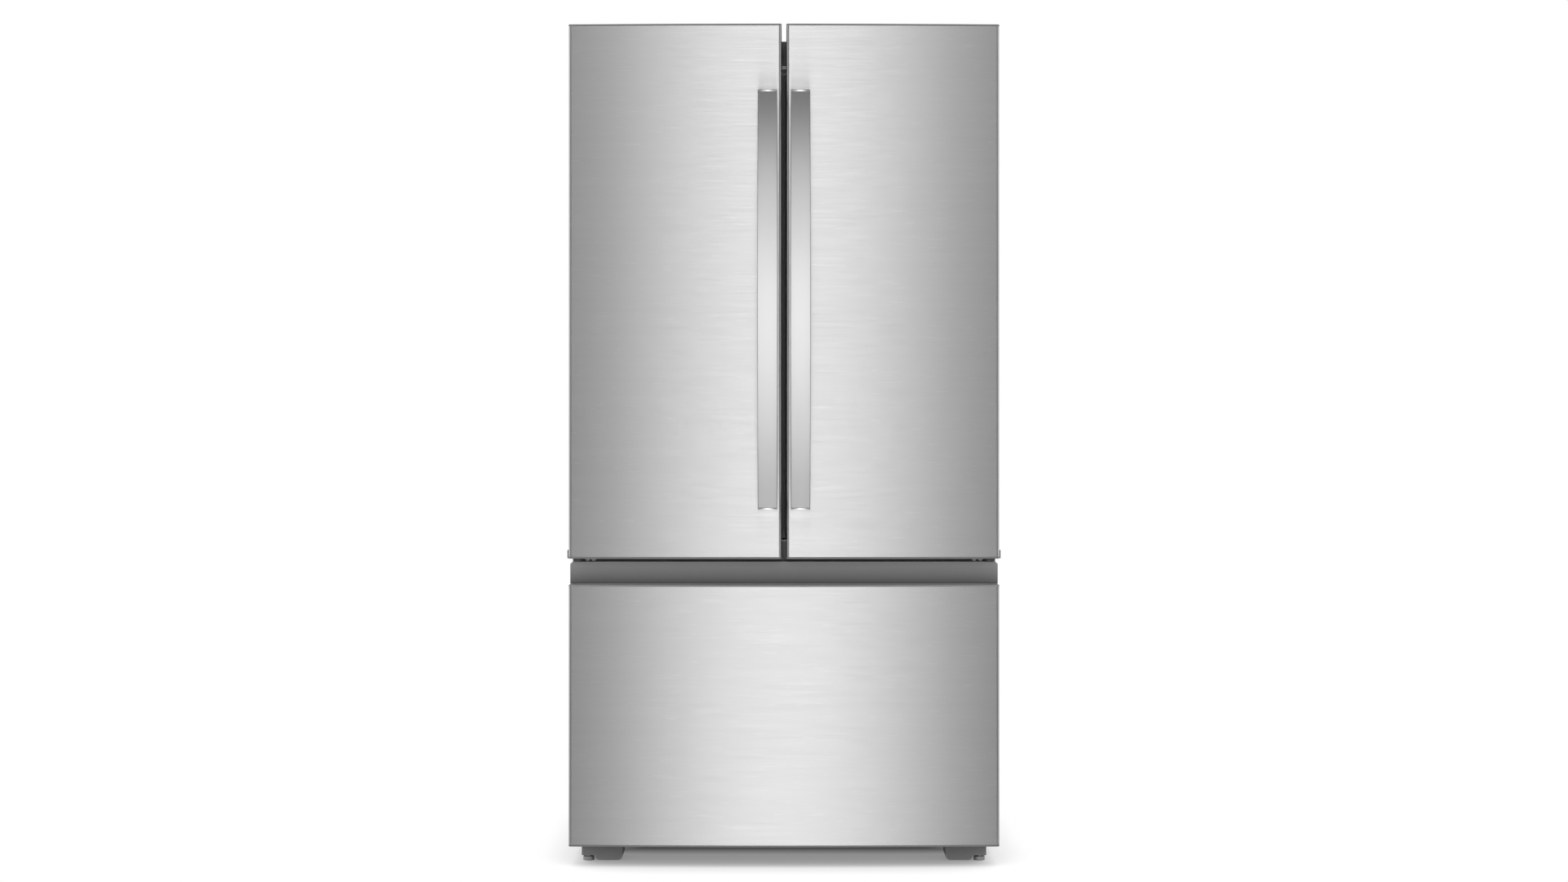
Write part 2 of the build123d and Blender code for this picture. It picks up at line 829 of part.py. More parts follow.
# Top hinges: a strap on the cabinet with a pin down into each door
strap_back = cabinet_front + strap_seat
strap_first = cabinet_front + strap_screw_first
strap_screws = [strap_first + index * strap_screw_pitch for index in range(strap_screw_count)]
screw_hole = screw_radius + screw_clearance
with BuildPart() as top_hinges:
    for side in (-1, 1):
        x = -side * hinge_x
        block(
            x - strap_half_width, x + strap_half_width, hinge_y, strap_back,
            cabinet_top, cabinet_top + strap_thickness,
        )
        rod(x, hinge_y, cabinet_top, cabinet_top + strap_thickness, strap_half_width)
        rod(x, hinge_y, cabinet_top - pin_length, cabinet_top, pin_radius)
        for y in strap_screws:
            rod(x, y, cabinet_top, cabinet_top + strap_thickness, screw_hole, Mode.SUBTRACT)
top_hinges.part.label = "top_hinges"
export_step(top_hinges.part, "parts/top_hinges.step")

# Hinge covers: hollow caps over the straps
cover_top = cabinet_top + cover_height
cover_back = strap_back + cover_wall + hinge_room
with BuildPart() as top_hinge_covers:
    for side in (-1, 1):
        x = side * -hinge_x
        inward = x - side * (cover_width - cover_half_width)
        edge = x + side * cover_half_width
        block(
            x - cover_half_width, x + cover_half_width, hinge_y, cover_back, cabinet_top, cover_top,
        )
        rod(x, hinge_y, cabinet_top, cover_top, cover_half_width)
        block(
            min(inward, edge), max(inward, edge), cabinet_front + hinge_room, cover_back,
            cabinet_top, cover_top,
        )
        block(
            x - strap_half_width - seat_clearance, x + strap_half_width + seat_clearance,
            hinge_y, cover_back - cover_wall, cabinet_top, cover_top - cover_wall, Mode.SUBTRACT,
        )
        rod(
            x, hinge_y, cabinet_top, cover_top - cover_wall,
            strap_half_width + seat_clearance, Mode.SUBTRACT,
        )
top_hinge_covers.part.label = "top_hinge_covers"
export_step(top_hinge_covers.part, "parts/top_hinge_covers.step")

# Centre hinges: a plate under each door, with its pin up and a flange on the cabinet's front
plate_bottom = pocket_top + plate_clearance
plate_top = plate_bottom + strap_thickness
flange_bottom = freezer_ceiling + gasket_lap + gasket_width + seat_clearance
flange_top = fresh_floor - gasket_lap - gasket_width - seat_clearance
flange_front = cabinet_front - hinge_flange
flange_screw_z = (flange_bottom + flange_top) / 2
flange_screw_x = half_cabinet - flange_width + flange_screw_edge
flange_screws = (flange_screw_x, flange_screw_x + flange_screw_pitch)
with BuildPart() as centre_hinges:
    for side in (-1, 1):
        x = -side * hinge_x
        block(
            x - strap_half_width, x + strap_half_width, hinge_y, cabinet_front, plate_bottom, plate_top,
        )
        rod(x, hinge_y, plate_bottom, plate_top, strap_half_width)
        rod(x, hinge_y, plate_top, plate_top + pin_length, pin_radius)
        outer = side * half_cabinet
        inner = side * (half_cabinet - flange_width)
        block(
            min(outer, inner), max(outer, inner), flange_front, cabinet_front, flange_bottom, flange_top,
        )
        for distance in flange_screws:
            depth_rod(
                side * distance, flange_front, cabinet_front, flange_screw_z, screw_hole, Mode.SUBTRACT,
            )
centre_hinges.part.label = "centre_hinges"
export_step(centre_hinges.part, "parts/centre_hinges.step")

# Hinge screws
with BuildPart() as hinge_screws:
    for side in (-1, 1):
        head = cabinet_top + strap_thickness
        for y in strap_screws:
            rod(-side * hinge_x, y, head, head + screw_head_height, screw_head_radius)
            rod(-side * hinge_x, y, cabinet_top, head, screw_radius)
        for distance in flange_screws:
            depth_rod(
                side * distance, flange_front - screw_head_height, flange_front,
                flange_screw_z, screw_head_radius,
            )
            depth_rod(side * distance, flange_front, cabinet_front, flange_screw_z, screw_radius)
hinge_screws.part.label = "hinge_screws"
export_step(hinge_screws.part, "parts/hinge_screws.step")

# Drawer skin
drawer_skin_bottom = drawer_bottom + cap_band
with BuildPart() as drawer_skin:
    extrude(
        bowed_plan(-half_span, half_span, door_back, drawer_skin_bottom),
        amount=drawer_steel_top - drawer_skin_bottom,
    )
    extrude(
        bowed_plan(-half_span, half_span, door_back + edge_round, drawer_skin_bottom, skin),
        amount=drawer_steel_top - drawer_skin_bottom, mode=Mode.SUBTRACT,
    )
drawer_skin.part.label = "drawer_skin"
export_step(drawer_skin.part, "parts/drawer_skin.step")

# Bottom cap of the drawer
with BuildPart() as drawer_bottom_cap:
    extrude(bowed_plan(-half_span, half_span, door_back, drawer_bottom), amount=cap_band)
drawer_bottom_cap.part.label = "drawer_bottom_cap"
export_step(drawer_bottom_cap.part, "parts/drawer_bottom_cap.step")

# Pocket grip: a moulded lip, a finger groove behind it and a back wall up to the doors
grip_wall_y = door_back - grip_wall
grip_plug = lip_top - grip_depth - grip_shell
with BuildPart() as drawer_pocket:
    extrude(bowed_plan(-half_span, half_span, door_back, drawer_steel_top), amount=lip_band)
    fillet(drawer_pocket.faces().sort_by(Axis.Z)[-1].edges().group_by(Axis.Y)[0], radius=lip_round)
    extrude(
        bowed_plan(-half_span, half_span, door_back, grip_plug, skin), amount=drawer_steel_top - grip_plug,
    )
    with BuildSketch(Plane.XZ.offset(-grip_wall_y)) as wall_view:
        with BuildLine():
            Polyline(
                (-half_span, lip_top), (half_span, lip_top),
                (half_span, pocket_top - grip_corner), (half_span - grip_corner, pocket_top),
                (-half_span + grip_corner, pocket_top), (-half_span, pocket_top - grip_corner),
                close=True,
            )
        make_face()
    extrude(amount=-grip_wall)
    rounded_block(
        -half_span + grip_end, half_span - grip_end, grip_wall_y - grip_width, grip_wall_y,
        lip_top - grip_depth, lip_top, grip_corner, Mode.SUBTRACT,
    )
drawer_pocket.part.label = "drawer_pocket"
export_step(drawer_pocket.part, "parts/drawer_pocket.step")

# Inner panel and foam of the drawer
with BuildPart() as drawer_panel:
    block(-half_span + skin, half_span - skin, block_back, door_back, drawer_skin_bottom, grip_plug)
drawer_panel.part.label = "drawer_panel"
export_step(drawer_panel.part, "parts/drawer_panel.step")

with BuildPart() as drawer_foam:
    extrude(
        bowed_plan(-half_span, half_span, block_back, drawer_skin_bottom, skin),
        amount=grip_plug - drawer_skin_bottom,
    )
drawer_foam.part.label = "drawer_foam"
export_step(drawer_foam.part, "parts/drawer_foam.step")

# Drawer gasket
with BuildPart() as drawer_gasket:
    ring(
        -half_room - gasket_lap - gasket_width, half_room + gasket_lap + gasket_width,
        door_back, cabinet_front - seal_clearance,
        freezer_floor - gasket_lap - gasket_width, freezer_ceiling + gasket_lap + gasket_width,
        gasket_width,
    )
drawer_gasket.part.label = "drawer_gasket"
export_step(drawer_gasket.part, "parts/drawer_gasket.step")


def side_bar(near, far, y0, y1, z0, z1, mode=Mode.ADD):
    """A bar along each side wall of a room, between two distances in from the wall."""
    for side in (-1, 1):
        x0 = side * (half_room - near)
        x1 = side * (half_room - far)
        block(min(x0, x1), max(x0, x1), y0, y1, z0, z1, mode)


# Drawer slides in three members: rails on the cabinet, middle members and drawer members
slide_z = freezer_floor + slide_level
rail_front = cabinet_front + slide_room
rail_back = rail_front + drawer_travel - slide_overtravel
half_slide = slide_height / 2
with BuildPart() as freezer_rails:
    side_bar(0.0, slide_width, rail_front, rail_back, slide_z - half_slide, slide_z + half_slide)
    side_bar(
        slide_web, slide_width, rail_front, rail_back,
        slide_z - half_slide + slide_web, slide_z + half_slide - slide_web, Mode.SUBTRACT,
    )
freezer_rails.part.label = "freezer_rails"
export_step(freezer_rails.part, "parts/freezer_rails.step")

member_near = slide_web + slide_play
half_member = half_slide - slide_web - slide_play
with BuildPart() as slide_members:
    side_bar(member_near, slide_width, rail_front, rail_back, slide_z - half_member, slide_z + half_member)
    side_bar(
        member_near + slide_web, slide_width, rail_front, rail_back,
        slide_z - half_member + slide_web, slide_z + half_member - slide_web, Mode.SUBTRACT,
    )
slide_members.part.label = "slide_members"
export_step(slide_members.part, "parts/slide_members.step")

inner_near = member_near + slide_web + slide_play
half_inner = half_member - slide_web - slide_play
web_near = slide_width + slide_play
web_far = web_near + slide_web
shelf_top = slide_z + slide_shelf_rise
with BuildPart() as drawer_slides:
    side_bar(inner_near, web_far, rail_front, rail_back, slide_z - half_inner, slide_z + half_inner)
    side_bar(web_near, web_far, door_back, rail_back, slide_z - half_inner, shelf_top)
    side_bar(
        web_near, web_near + slide_shelf, door_back, rail_back,
        shelf_top - slide_shelf_thickness, shelf_top,
    )
    side_bar(
        web_near, web_near + slide_foot, door_back, door_back + slide_web, slide_z - half_slide, shelf_top,
    )
drawer_slides.part.label = "drawer_slides"
export_step(drawer_slides.part, "parts/drawer_slides.step")

# Freezer bin: its wide upper part rests on the shelves of the drawer slides
bin_low = freezer_floor + freezer_bin_floor
bin_high = bin_low + freezer_bin_height
bin_start = door_back + slide_room
bin_end = bin_start + freezer_bin_depth
wide_half = half_room - web_far - seat_clearance
narrow_half = half_room - web_near - slide_shelf - seat_clearance
with BuildPart() as freezer_bin:
    rounded_block(-wide_half, wide_half, bin_start, bin_end, shelf_top, bin_high, freezer_bin_corner)
    rounded_block(
        -narrow_half, narrow_half, bin_start + slide_web, bin_end, bin_low, shelf_top, freezer_bin_corner,
    )
    rounded_block(
        -narrow_half + freezer_bin_wall, narrow_half - freezer_bin_wall,
        bin_start + slide_web + freezer_bin_wall, bin_end - freezer_bin_wall,
        bin_low + freezer_bin_wall, bin_high, freezer_bin_corner - freezer_bin_wall, Mode.SUBTRACT,
    )
    rounded_block(
        -wide_half + freezer_bin_wall, wide_half - freezer_bin_wall,
        bin_start + freezer_bin_wall, bin_end - freezer_bin_wall,
        shelf_top + freezer_bin_wall, bin_high, freezer_bin_corner - freezer_bin_wall, Mode.SUBTRACT,
    )
freezer_bin.part.label = "freezer_bin"
export_step(freezer_bin.part, "parts/freezer_bin.step")

# Upper basket: hangs by its rim on the liner's ledges
basket_half = half_room - basket_ledge - ledge_clearance
rim_half = half_room - ledge_clearance
with BuildPart() as upper_basket:
    rounded_block(
        -basket_half, basket_half, basket_front, basket_back,
        basket_seat + basket_rim - basket_height, basket_seat + basket_rim, freezer_bin_corner,
    )
    rounded_block(
        -rim_half, rim_half, basket_front, basket_back,
        basket_seat + seat_clearance, basket_seat + basket_rim, freezer_bin_corner,
    )
    rounded_block(
        -basket_half + freezer_bin_wall, basket_half - freezer_bin_wall,
        basket_front + freezer_bin_wall, basket_back - freezer_bin_wall,
        basket_seat + basket_rim - basket_height + freezer_bin_wall, basket_seat + basket_rim,
        freezer_bin_corner - freezer_bin_wall, Mode.SUBTRACT,
    )
upper_basket.part.label = "upper_basket"
export_step(upper_basket.part, "parts/upper_basket.step")

# Crispers: clear boxes with a pull along the upper front edge
crisper_outer = -half_room + ledge_width + ledge_clearance
crisper_inner = -crisper_middle_gap / 2
with BuildPart() as crisper:
    tray(
        crisper_outer, crisper_inner, crisper_front + crisper_pull, crisper_back,
        fresh_floor + seat_clearance, crisper_top, crisper_wall, crisper_corner,
    )
    block(
        crisper_outer + crisper_corner, crisper_inner - crisper_corner, crisper_front,
        crisper_front + crisper_pull + crisper_wall, crisper_top - crisper_wall, crisper_top,
    )
    block(
        crisper_outer + crisper_corner, crisper_inner - crisper_corner, crisper_front,
        crisper_front + crisper_wall, crisper_top - crisper_lip, crisper_top,
    )
both_sides(crisper, "crisper")


def shelf_frame(x0, x1, y0, y1, z):
    """A plastic rim round a glass pane, with a ledge under the pane."""
    block(x0, x1, y0, y1, z, z + frame_height)
    inset = frame_rim - frame_ledge
    block(
        x0 + inset, x1 - inset, y0 + inset, y1 - inset,
        z + frame_height - glass_thickness, z + frame_height, Mode.SUBTRACT,
    )
    block(
        x0 + frame_rim, x1 - frame_rim, y0 + frame_rim, y1 - frame_rim, z, z + frame_height, Mode.SUBTRACT,
    )


def shelf_pane(x0, x1, y0, y1, z):
    """The pane that lies in such a rim."""
    inset = frame_rim - frame_ledge + glass_clearance
    block(
        x0 + inset, x1 - inset, y0 + inset, y1 - inset,
        z + frame_height - glass_thickness, z + frame_height,
    )


# Shelves: one over the crispers on the liner's ledges, and two on each side, hung on the tracks
shelf_side = half_room - frame_side_room
track_front = room_back - track_depth
track_x = [tower_width / 2 + track_side_inset, half_room - track_side_inset]
shelf_spots = []
for side, levels in ((-1, shelf_levels_left), (1, shelf_levels_right)):
    near = side * shelf_middle_gap / 2
    far = side * shelf_side
    for level in levels:
        shelf_spots.append((min(near, far), max(near, far), shelf_base + level, side))

with BuildPart() as shelf_frames:
    shelf_frame(-shelf_side, shelf_side, crisper_front, shelf_back, shelf_base)
    for x0, x1, z, side in shelf_spots:
        shelf_frame(x0, x1, crisper_front, shelf_back, z)
        for x in track_x:
            block(
                side * x - arm_width / 2, side * x + arm_width / 2,
                shelf_back - frame_rim, track_front, z - arm_drop, z + frame_height - glass_thickness,
            )
shelf_frames.part.label = "shelf_frames"
export_step(shelf_frames.part, "parts/shelf_frames.step")

with BuildPart() as shelf_glass:
    shelf_pane(-shelf_side, shelf_side, crisper_front, shelf_back, shelf_base)
    for x0, x1, z, side in shelf_spots:
        shelf_pane(x0, x1, crisper_front, shelf_back, z)
shelf_glass.part.label = "shelf_glass"
export_step(shelf_glass.part, "parts/shelf_glass.step")

track_bottom = shelf_base + frame_height + arm_drop
track_top = ceiling - track_top_room
slot_count = int((track_top - track_bottom) / slot_pitch) - 1
track_columns = [side * x for side in (-1, 1) for x in track_x]
with BuildPart() as shelf_tracks:
    bars = [(x, (track_front + room_back) / 2, (track_bottom + track_top) / 2) for x in track_columns]
    blocks(bars, track_width, track_depth, track_top - track_bottom)
    slot_levels = [track_bottom + (index + 1) * slot_pitch for index in range(slot_count)]
    slots = [(x, track_front + track_slot / 2, z) for x in track_columns for z in slot_levels]
    blocks(slots, track_slot, track_slot, slot_height, Mode.SUBTRACT)
shelf_tracks.part.label = "shelf_tracks"
export_step(shelf_tracks.part, "parts/shelf_tracks.step")

# Air tower on the back wall, with pairs of vents
with BuildPart() as air_tower:
    tower_front = room_back - tower_depth
    tower_top = ceiling - tower_top_room
    rounded_block(
        -tower_width / 2, tower_width / 2, tower_front, room_back, track_bottom, tower_top, room_corner,
    )
    vent_count = int((tower_top - track_bottom) / vent_pitch) - 1
    vents = [
        (x, tower_front + vent_depth / 2, track_bottom + (index + 1) * vent_pitch)
        for x in (-tower_width / 4, tower_width / 4)
        for index in range(vent_count)
    ]
    blocks(vents, vent_length, vent_depth, vent_height, Mode.SUBTRACT)
air_tower.part.label = "air_tower"
export_step(air_tower.part, "parts/air_tower.step")

# Control panel at the front of the ceiling, with the lamp in its underside
panel_front = cabinet_front + panel_setback
with BuildPart() as control_panel:
    rounded_block(
        -panel_width / 2, panel_width / 2, panel_front, panel_front + panel_depth,
        ceiling - panel_height, ceiling, room_corner,
    )
    chamfer(control_panel.faces().sort_by(Axis.Z)[0].edges(), panel_edge)
    lamp_back = panel_front + panel_depth - 2 * panel_edge
    block(
        -lamp_width / 2, lamp_width / 2, lamp_back - lamp_depth, lamp_back,
        ceiling - panel_height, ceiling - panel_height + lamp_recess, Mode.SUBTRACT,
    )
control_panel.part.label = "control_panel"
export_step(control_panel.part, "parts/control_panel.step")

# Compressor: a welded can on a plate with four feet
compressor_y = (machine_front + cabinet_back) / 2
can_bottom = base_top + compressor_foot + compressor_plate
with BuildPart() as compressor:
    rod(compressor_x, compressor_y, can_bottom, can_bottom + compressor_height, compressor_radius)
    can_ends = compressor.edges().filter_by(GeomType.CIRCLE)
    fillet(can_ends.sort_by(Axis.Z)[-1], radius=can_shoulder)
    fillet(compressor.edges().filter_by(GeomType.CIRCLE).sort_by(Axis.Z)[0], radius=compressor_foot)
    block(
        compressor_x - compressor_radius, compressor_x + compressor_radius,
        compressor_y - compressor_radius, compressor_y + compressor_radius,
        can_bottom - compressor_plate, can_bottom,
    )
    foot_spread = compressor_radius - compressor_foot
    for sx in (-1, 1):
        for sy in (-1, 1):
            rod(
                compressor_x + sx * foot_spread, compressor_y + sy * foot_spread,
                base_top, can_bottom, compressor_foot,
            )
compressor.part.label = "compressor"
export_step(compressor.part, "parts/compressor.step")

# Condenser on two end plates, with the drain pan below it
condenser_left = -half_cabinet + condenser_left_room
condenser_right = condenser_left + condenser_length
condenser_front = compressor_y - condenser_depth / 2
condenser_back = compressor_y + condenser_depth / 2
condenser_bottom = base_top + pan_height + slide_room
with BuildPart() as condenser:
    fins(
        condenser_left, condenser_right, condenser_front, condenser_back,
        condenser_bottom, condenser_bottom + condenser_height, condenser_fins,
    )
    for x in (condenser_left, condenser_right - fin_thickness):
        block(x, x + fin_thickness, condenser_front, condenser_back, base_top, condenser_bottom)
condenser.part.label = "condenser"
export_step(condenser.part, "parts/condenser.step")

with BuildPart() as drain_pan:
    pan_room = fin_thickness + slide_room
    tray(
        condenser_left + pan_room, condenser_right - pan_room, condenser_front, condenser_back,
        base_top, base_top + pan_height, pan_wall, bin_corner,
    )
drain_pan.part.label = "drain_pan"
export_step(drain_pan.part, "parts/drain_pan.step")

# Condenser fan motor: stands on a bracket, with its shaft toward the condenser
fan_z = base_top + condenser_fan_radius + motor_radius
fan_x = condenser_right + fan_depth + fan_room
motor_left = fan_x + fan_depth / 2 + fan_room
shaft_end = fan_x - fan_depth / 2
with BuildPart() as condenser_fan_motor:
    cross_rod(motor_left, motor_left + motor_length, compressor_y, fan_z, motor_radius)
    cross_rod(shaft_end, motor_left, compressor_y, fan_z, fan_shaft)
    block(
        motor_left + motor_length - bracket_wall, motor_left + motor_length,
        compressor_y - motor_radius, compressor_y + motor_radius, base_top, fan_z,
    )
    block(
        motor_left, motor_left + motor_length, compressor_y - motor_radius,
        compressor_y + motor_radius, base_top, base_top + bracket_wall,
    )
condenser_fan_motor.part.label = "condenser_fan_motor"
export_step(condenser_fan_motor.part, "parts/condenser_fan_motor.step")


def fan_wheel(tip):
    """A hub with a bore and tilted blades, in the workplane of the part being made."""
    Cylinder(fan_hub, fan_depth)
    span = tip - fan_hub / 2
    with PolarLocations((tip + fan_hub / 2) / 2, fan_blades):
        Box(span, fan_depth, fan_blade, rotation=(fan_pitch, 0, 0))
    Cylinder(fan_shaft + running_fit, fan_depth, mode=Mode.SUBTRACT)


with BuildPart(Plane((fan_x, compressor_y, fan_z), z_dir=(1, 0, 0))) as condenser_fan:
    fan_wheel(condenser_fan_radius)
condenser_fan.part.label = "condenser_fan"
export_step(condenser_fan.part, "parts/condenser_fan.step")

# Rear machine cover with rows of vents and the power inlet
inlet_x = compressor_x + compressor_radius
machine_middle = (base_top + machine_top) / 2
with BuildPart() as machine_cover:
    half_cover = half_cabinet - machine_cover_edge
    block(
        -half_cover, half_cover, cabinet_back, cabinet_back + cover_thickness,
        base_bottom, machine_top - machine_cover_edge,
    )
    with BuildSketch(Plane.XZ.offset(-cabinet_back)) as louvres:
        with Locations((-louvre_pitch, machine_middle)):
            with GridLocations(louvre_pitch, louvre_rise, vent_columns, vent_rows):
                SlotOverall(louvre_length, louvre_height)
    extrude(amount=-cover_thickness, mode=Mode.SUBTRACT)
    block(
        inlet_x - inlet_width / 2, inlet_x + inlet_width / 2, cabinet_back,
        cabinet_back + rear_standoff, machine_middle - inlet_height / 2, machine_middle + inlet_height / 2,
    )
    block(
        inlet_x - inlet_socket_width / 2, inlet_x + inlet_socket_width / 2, cabinet_back + cover_thickness,
        cabinet_back + rear_standoff,
        machine_middle - inlet_socket_height / 2, machine_middle + inlet_socket_height / 2,
        Mode.SUBTRACT,
    )
machine_cover.part.label = "machine_cover"
export_step(machine_cover.part, "parts/machine_cover.step")

# Evaporator on the freezer's back wall
evaporator_bottom = step_top + slide_room
evaporator_top = evaporator_bottom + evaporator_height
half_evaporator = evaporator_length / 2
with BuildPart() as evaporator:
    evaporator_front = room_back - evaporator_depth
    fins(
        -half_evaporator, half_evaporator, evaporator_front, room_back,
        evaporator_bottom, evaporator_top, evaporator_fins,
    )
evaporator.part.label = "evaporator"
export_step(evaporator.part, "parts/evaporator.step")

# Evaporator cover: vents below, a fan mouth above and the fan motor on three spokes behind it
evaporator_fan_z = (evaporator_top + freezer_ceiling) / 2
cover_front = room_back - cover_setback
cover_rear = cover_front + cover_thickness
wheel_front = cover_rear + fan_room
wheel_middle = wheel_front + fan_depth / 2
motor_front = wheel_front + fan_depth + fan_room
mouth = evaporator_fan_radius + fan_room
with BuildPart() as evaporator_cover:
    half_cover = half_room - seat_clearance
    block(-half_cover, half_cover, cover_front, cover_rear, step_top, freezer_ceiling - seat_clearance)
    with BuildSketch(Plane.XZ.offset(-cover_front)) as returns:
        with Locations((0, step_top + return_rise)):
            with GridLocations(return_pitch, 1, return_vents, 1):
                SlotOverall(return_length, return_height)
    extrude(amount=-cover_thickness, mode=Mode.SUBTRACT)
    depth_rod(0, cover_front, cover_rear, evaporator_fan_z, mouth, Mode.SUBTRACT)
    depth_rod(0, cover_rear, motor_front + bracket_wall, evaporator_fan_z, mouth + bracket_wall)
    depth_rod(0, cover_rear, motor_front + bracket_wall, evaporator_fan_z, mouth, Mode.SUBTRACT)
    depth_rod(0, wheel_front, motor_front, evaporator_fan_z, fan_shaft)
    depth_rod(0, motor_front, room_back - slide_room, evaporator_fan_z, fan_hub)
    block(
        -mouth, mouth, motor_front, motor_front + bracket_wall,
        evaporator_fan_z - bracket_wall, evaporator_fan_z + bracket_wall,
    )
    block(
        -bracket_wall, bracket_wall, motor_front, motor_front + bracket_wall,
        evaporator_fan_z, evaporator_fan_z + mouth,
    )
evaporator_cover.part.label = "evaporator_cover"
export_step(evaporator_cover.part, "parts/evaporator_cover.step")

with BuildPart(Plane((0, wheel_middle, evaporator_fan_z), z_dir=(0, 1, 0))) as evaporator_fan:
    fan_wheel(evaporator_fan_radius)
evaporator_fan.part.label = "evaporator_fan"
export_step(evaporator_fan.part, "parts/evaporator_fan.step")

# Front feet: a moulded housing for a roller, with a boss for the levelling leg at its outer end
foot_front = door_back + foot_front_room
foot_back = foot_front + foot_depth
foot_outer = -half_span + foot_inset
foot_boss = foot_outer + foot_leg_width
foot_inner = foot_outer + foot_width
leg_x = foot_outer + foot_leg_width / 2
leg_y = foot_front + foot_leg_width / 2 + foot_front_room
front_roller_x = (foot_boss + foot_inner) / 2
front_roller_y = (foot_front + foot_back) / 2
front_roller_z = front_roller_radius + front_roller_lift
roller_bay = roller_width / 2 + roller_side_room
bay_reach = front_roller_radius + roller_side_room
axle_reach = roller_bay + fork_wall
stud_top = base_bottom - leg_stud_room
with BuildPart() as left_foot:
    with BuildSketch(Plane.XZ.offset(-foot_front)) as housing:
        with BuildLine():
            Polyline(
                (foot_boss, foot_lift), (foot_inner, foot_lift),
                (foot_inner, base_bottom), (foot_boss, base_bottom), close=True,
            )
        make_face()
        fillet(housing.vertices().group_by(Axis.Z)[0], radius=foot_round)
    extrude(amount=-foot_depth)
    block(foot_outer, foot_boss, foot_front, foot_back, foot_leg_lift, base_bottom)
    rod(leg_x, leg_y, foot_leg_lift, stud_top, leg_stud + running_fit, Mode.SUBTRACT)
    block(
        front_roller_x - roller_bay, front_roller_x + roller_bay,
        front_roller_y - bay_reach, front_roller_y + bay_reach,
        foot_lift, front_roller_z + bay_reach, Mode.SUBTRACT,
    )
    cross_rod(
        front_roller_x - axle_reach, front_roller_x + axle_reach, front_roller_y, front_roller_z,
        roller_axle + running_fit, Mode.SUBTRACT,
    )
with BuildPart() as front_feet:
    add(left_foot.part)
    mirror(left_foot.part, about=Plane.YZ)
front_feet.part.label = "front_feet"
export_step(front_feet.part, "parts/front_feet.step")

# Levelling legs: a round pad on a stud
with BuildPart() as levelling_leg:
    rod(leg_x, leg_y, 0.0, leg_height, leg_radius)
    rod(leg_x, leg_y, leg_height, stud_top - leg_stud_room, leg_stud)
both_sides(levelling_leg, "levelling_leg")


def roller_pair(x, y, z, radius):
    """Two rollers on one line across the cabinet, each with its own short axle."""
    for side in (-1, 1):
        cross_rod(side * x - roller_width / 2, side * x + roller_width / 2, y, z, radius)
        cross_rod(side * x - axle_reach, side * x + axle_reach, y, z, roller_axle)


with BuildPart() as front_rollers:
    roller_pair(front_roller_x, front_roller_y, front_roller_z, front_roller_radius)
front_rollers.part.label = "front_rollers"
export_step(front_rollers.part, "parts/front_rollers.step")

with BuildPart() as rear_rollers:
    roller_pair(half_cabinet - rear_roller_inset, roller_y, rear_roller_radius, rear_roller_radius)
rear_rollers.part.label = "rear_rollers"
export_step(rear_rollers.part, "parts/rear_rollers.step")
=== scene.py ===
import json
import math

import bmesh
import bpy
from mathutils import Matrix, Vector


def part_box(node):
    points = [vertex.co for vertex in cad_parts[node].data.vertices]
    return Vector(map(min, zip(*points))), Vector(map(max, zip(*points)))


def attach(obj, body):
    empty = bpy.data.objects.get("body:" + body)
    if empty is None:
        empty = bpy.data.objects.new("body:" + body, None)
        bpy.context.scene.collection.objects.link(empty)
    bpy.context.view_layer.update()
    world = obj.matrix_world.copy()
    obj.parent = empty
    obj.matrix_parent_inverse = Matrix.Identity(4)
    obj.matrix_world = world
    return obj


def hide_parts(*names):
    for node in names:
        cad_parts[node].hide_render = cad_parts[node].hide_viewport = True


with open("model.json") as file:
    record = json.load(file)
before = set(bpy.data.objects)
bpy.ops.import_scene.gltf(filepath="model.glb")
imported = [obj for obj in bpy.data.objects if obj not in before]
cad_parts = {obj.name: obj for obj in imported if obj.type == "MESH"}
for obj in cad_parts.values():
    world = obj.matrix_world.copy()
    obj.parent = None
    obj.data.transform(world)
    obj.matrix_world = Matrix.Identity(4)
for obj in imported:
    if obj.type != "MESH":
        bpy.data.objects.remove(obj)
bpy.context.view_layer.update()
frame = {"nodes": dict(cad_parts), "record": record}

RECORD = frame["record"]
SLOT_OF = {row["node"]: row["material_slot"] for row in RECORD["subparts"]}
BODY_OF = {node: body for body, nodes in RECORD["behaviour"]["bodies"].items() for node in nodes}
SIDES = ("left", "right")

# Camera: level, straight in front of the doors. Its place is in metres, its lens and sensor in millimetres
CAMERA_BACK = 5.363
CAMERA_HEIGHT = 0.922
CAMERA_LENS = 54.5
SENSOR_WIDTH = 36.0
# How far the picture is moved down, in pixels of a picture this wide
CAMERA_DROP = 14.3
PICTURE_WIDTH = 1920

# Lamps: place and height of the point they aim at, in metres, and power in watts
LAMP_SIZE = 2.0
LAMPS = {
    "key_left": ((-2.6, -3.6, 2.4), 0.9, 14.0),
    "key_right": ((2.6, -3.6, 2.4), 0.9, 14.0),
    "front_fill": ((0.0, -6.2, 2.0), 1.0, 90.0),
    "back_left": ((-2.8, 3.4, 3.0), 0.9, 55.0),
    "back_right": ((2.8, 3.4, 3.0), 0.9, 55.0),
}

# Studio light: the ambient level, then what metal reflects by azimuth from straight in front
AMBIENT = 0.72
SOFTBOX_PEAK = 3.4
SOFTBOX_HALF_WIDTH = math.radians(8.6)
SOFTBOX_END = (math.radians(15.0), math.radians(26.0))
SIDE_LEVEL = 0.7
SURROUND_LEVEL = 0.9
SURROUND_START = (math.radians(50.0), math.radians(75.0))
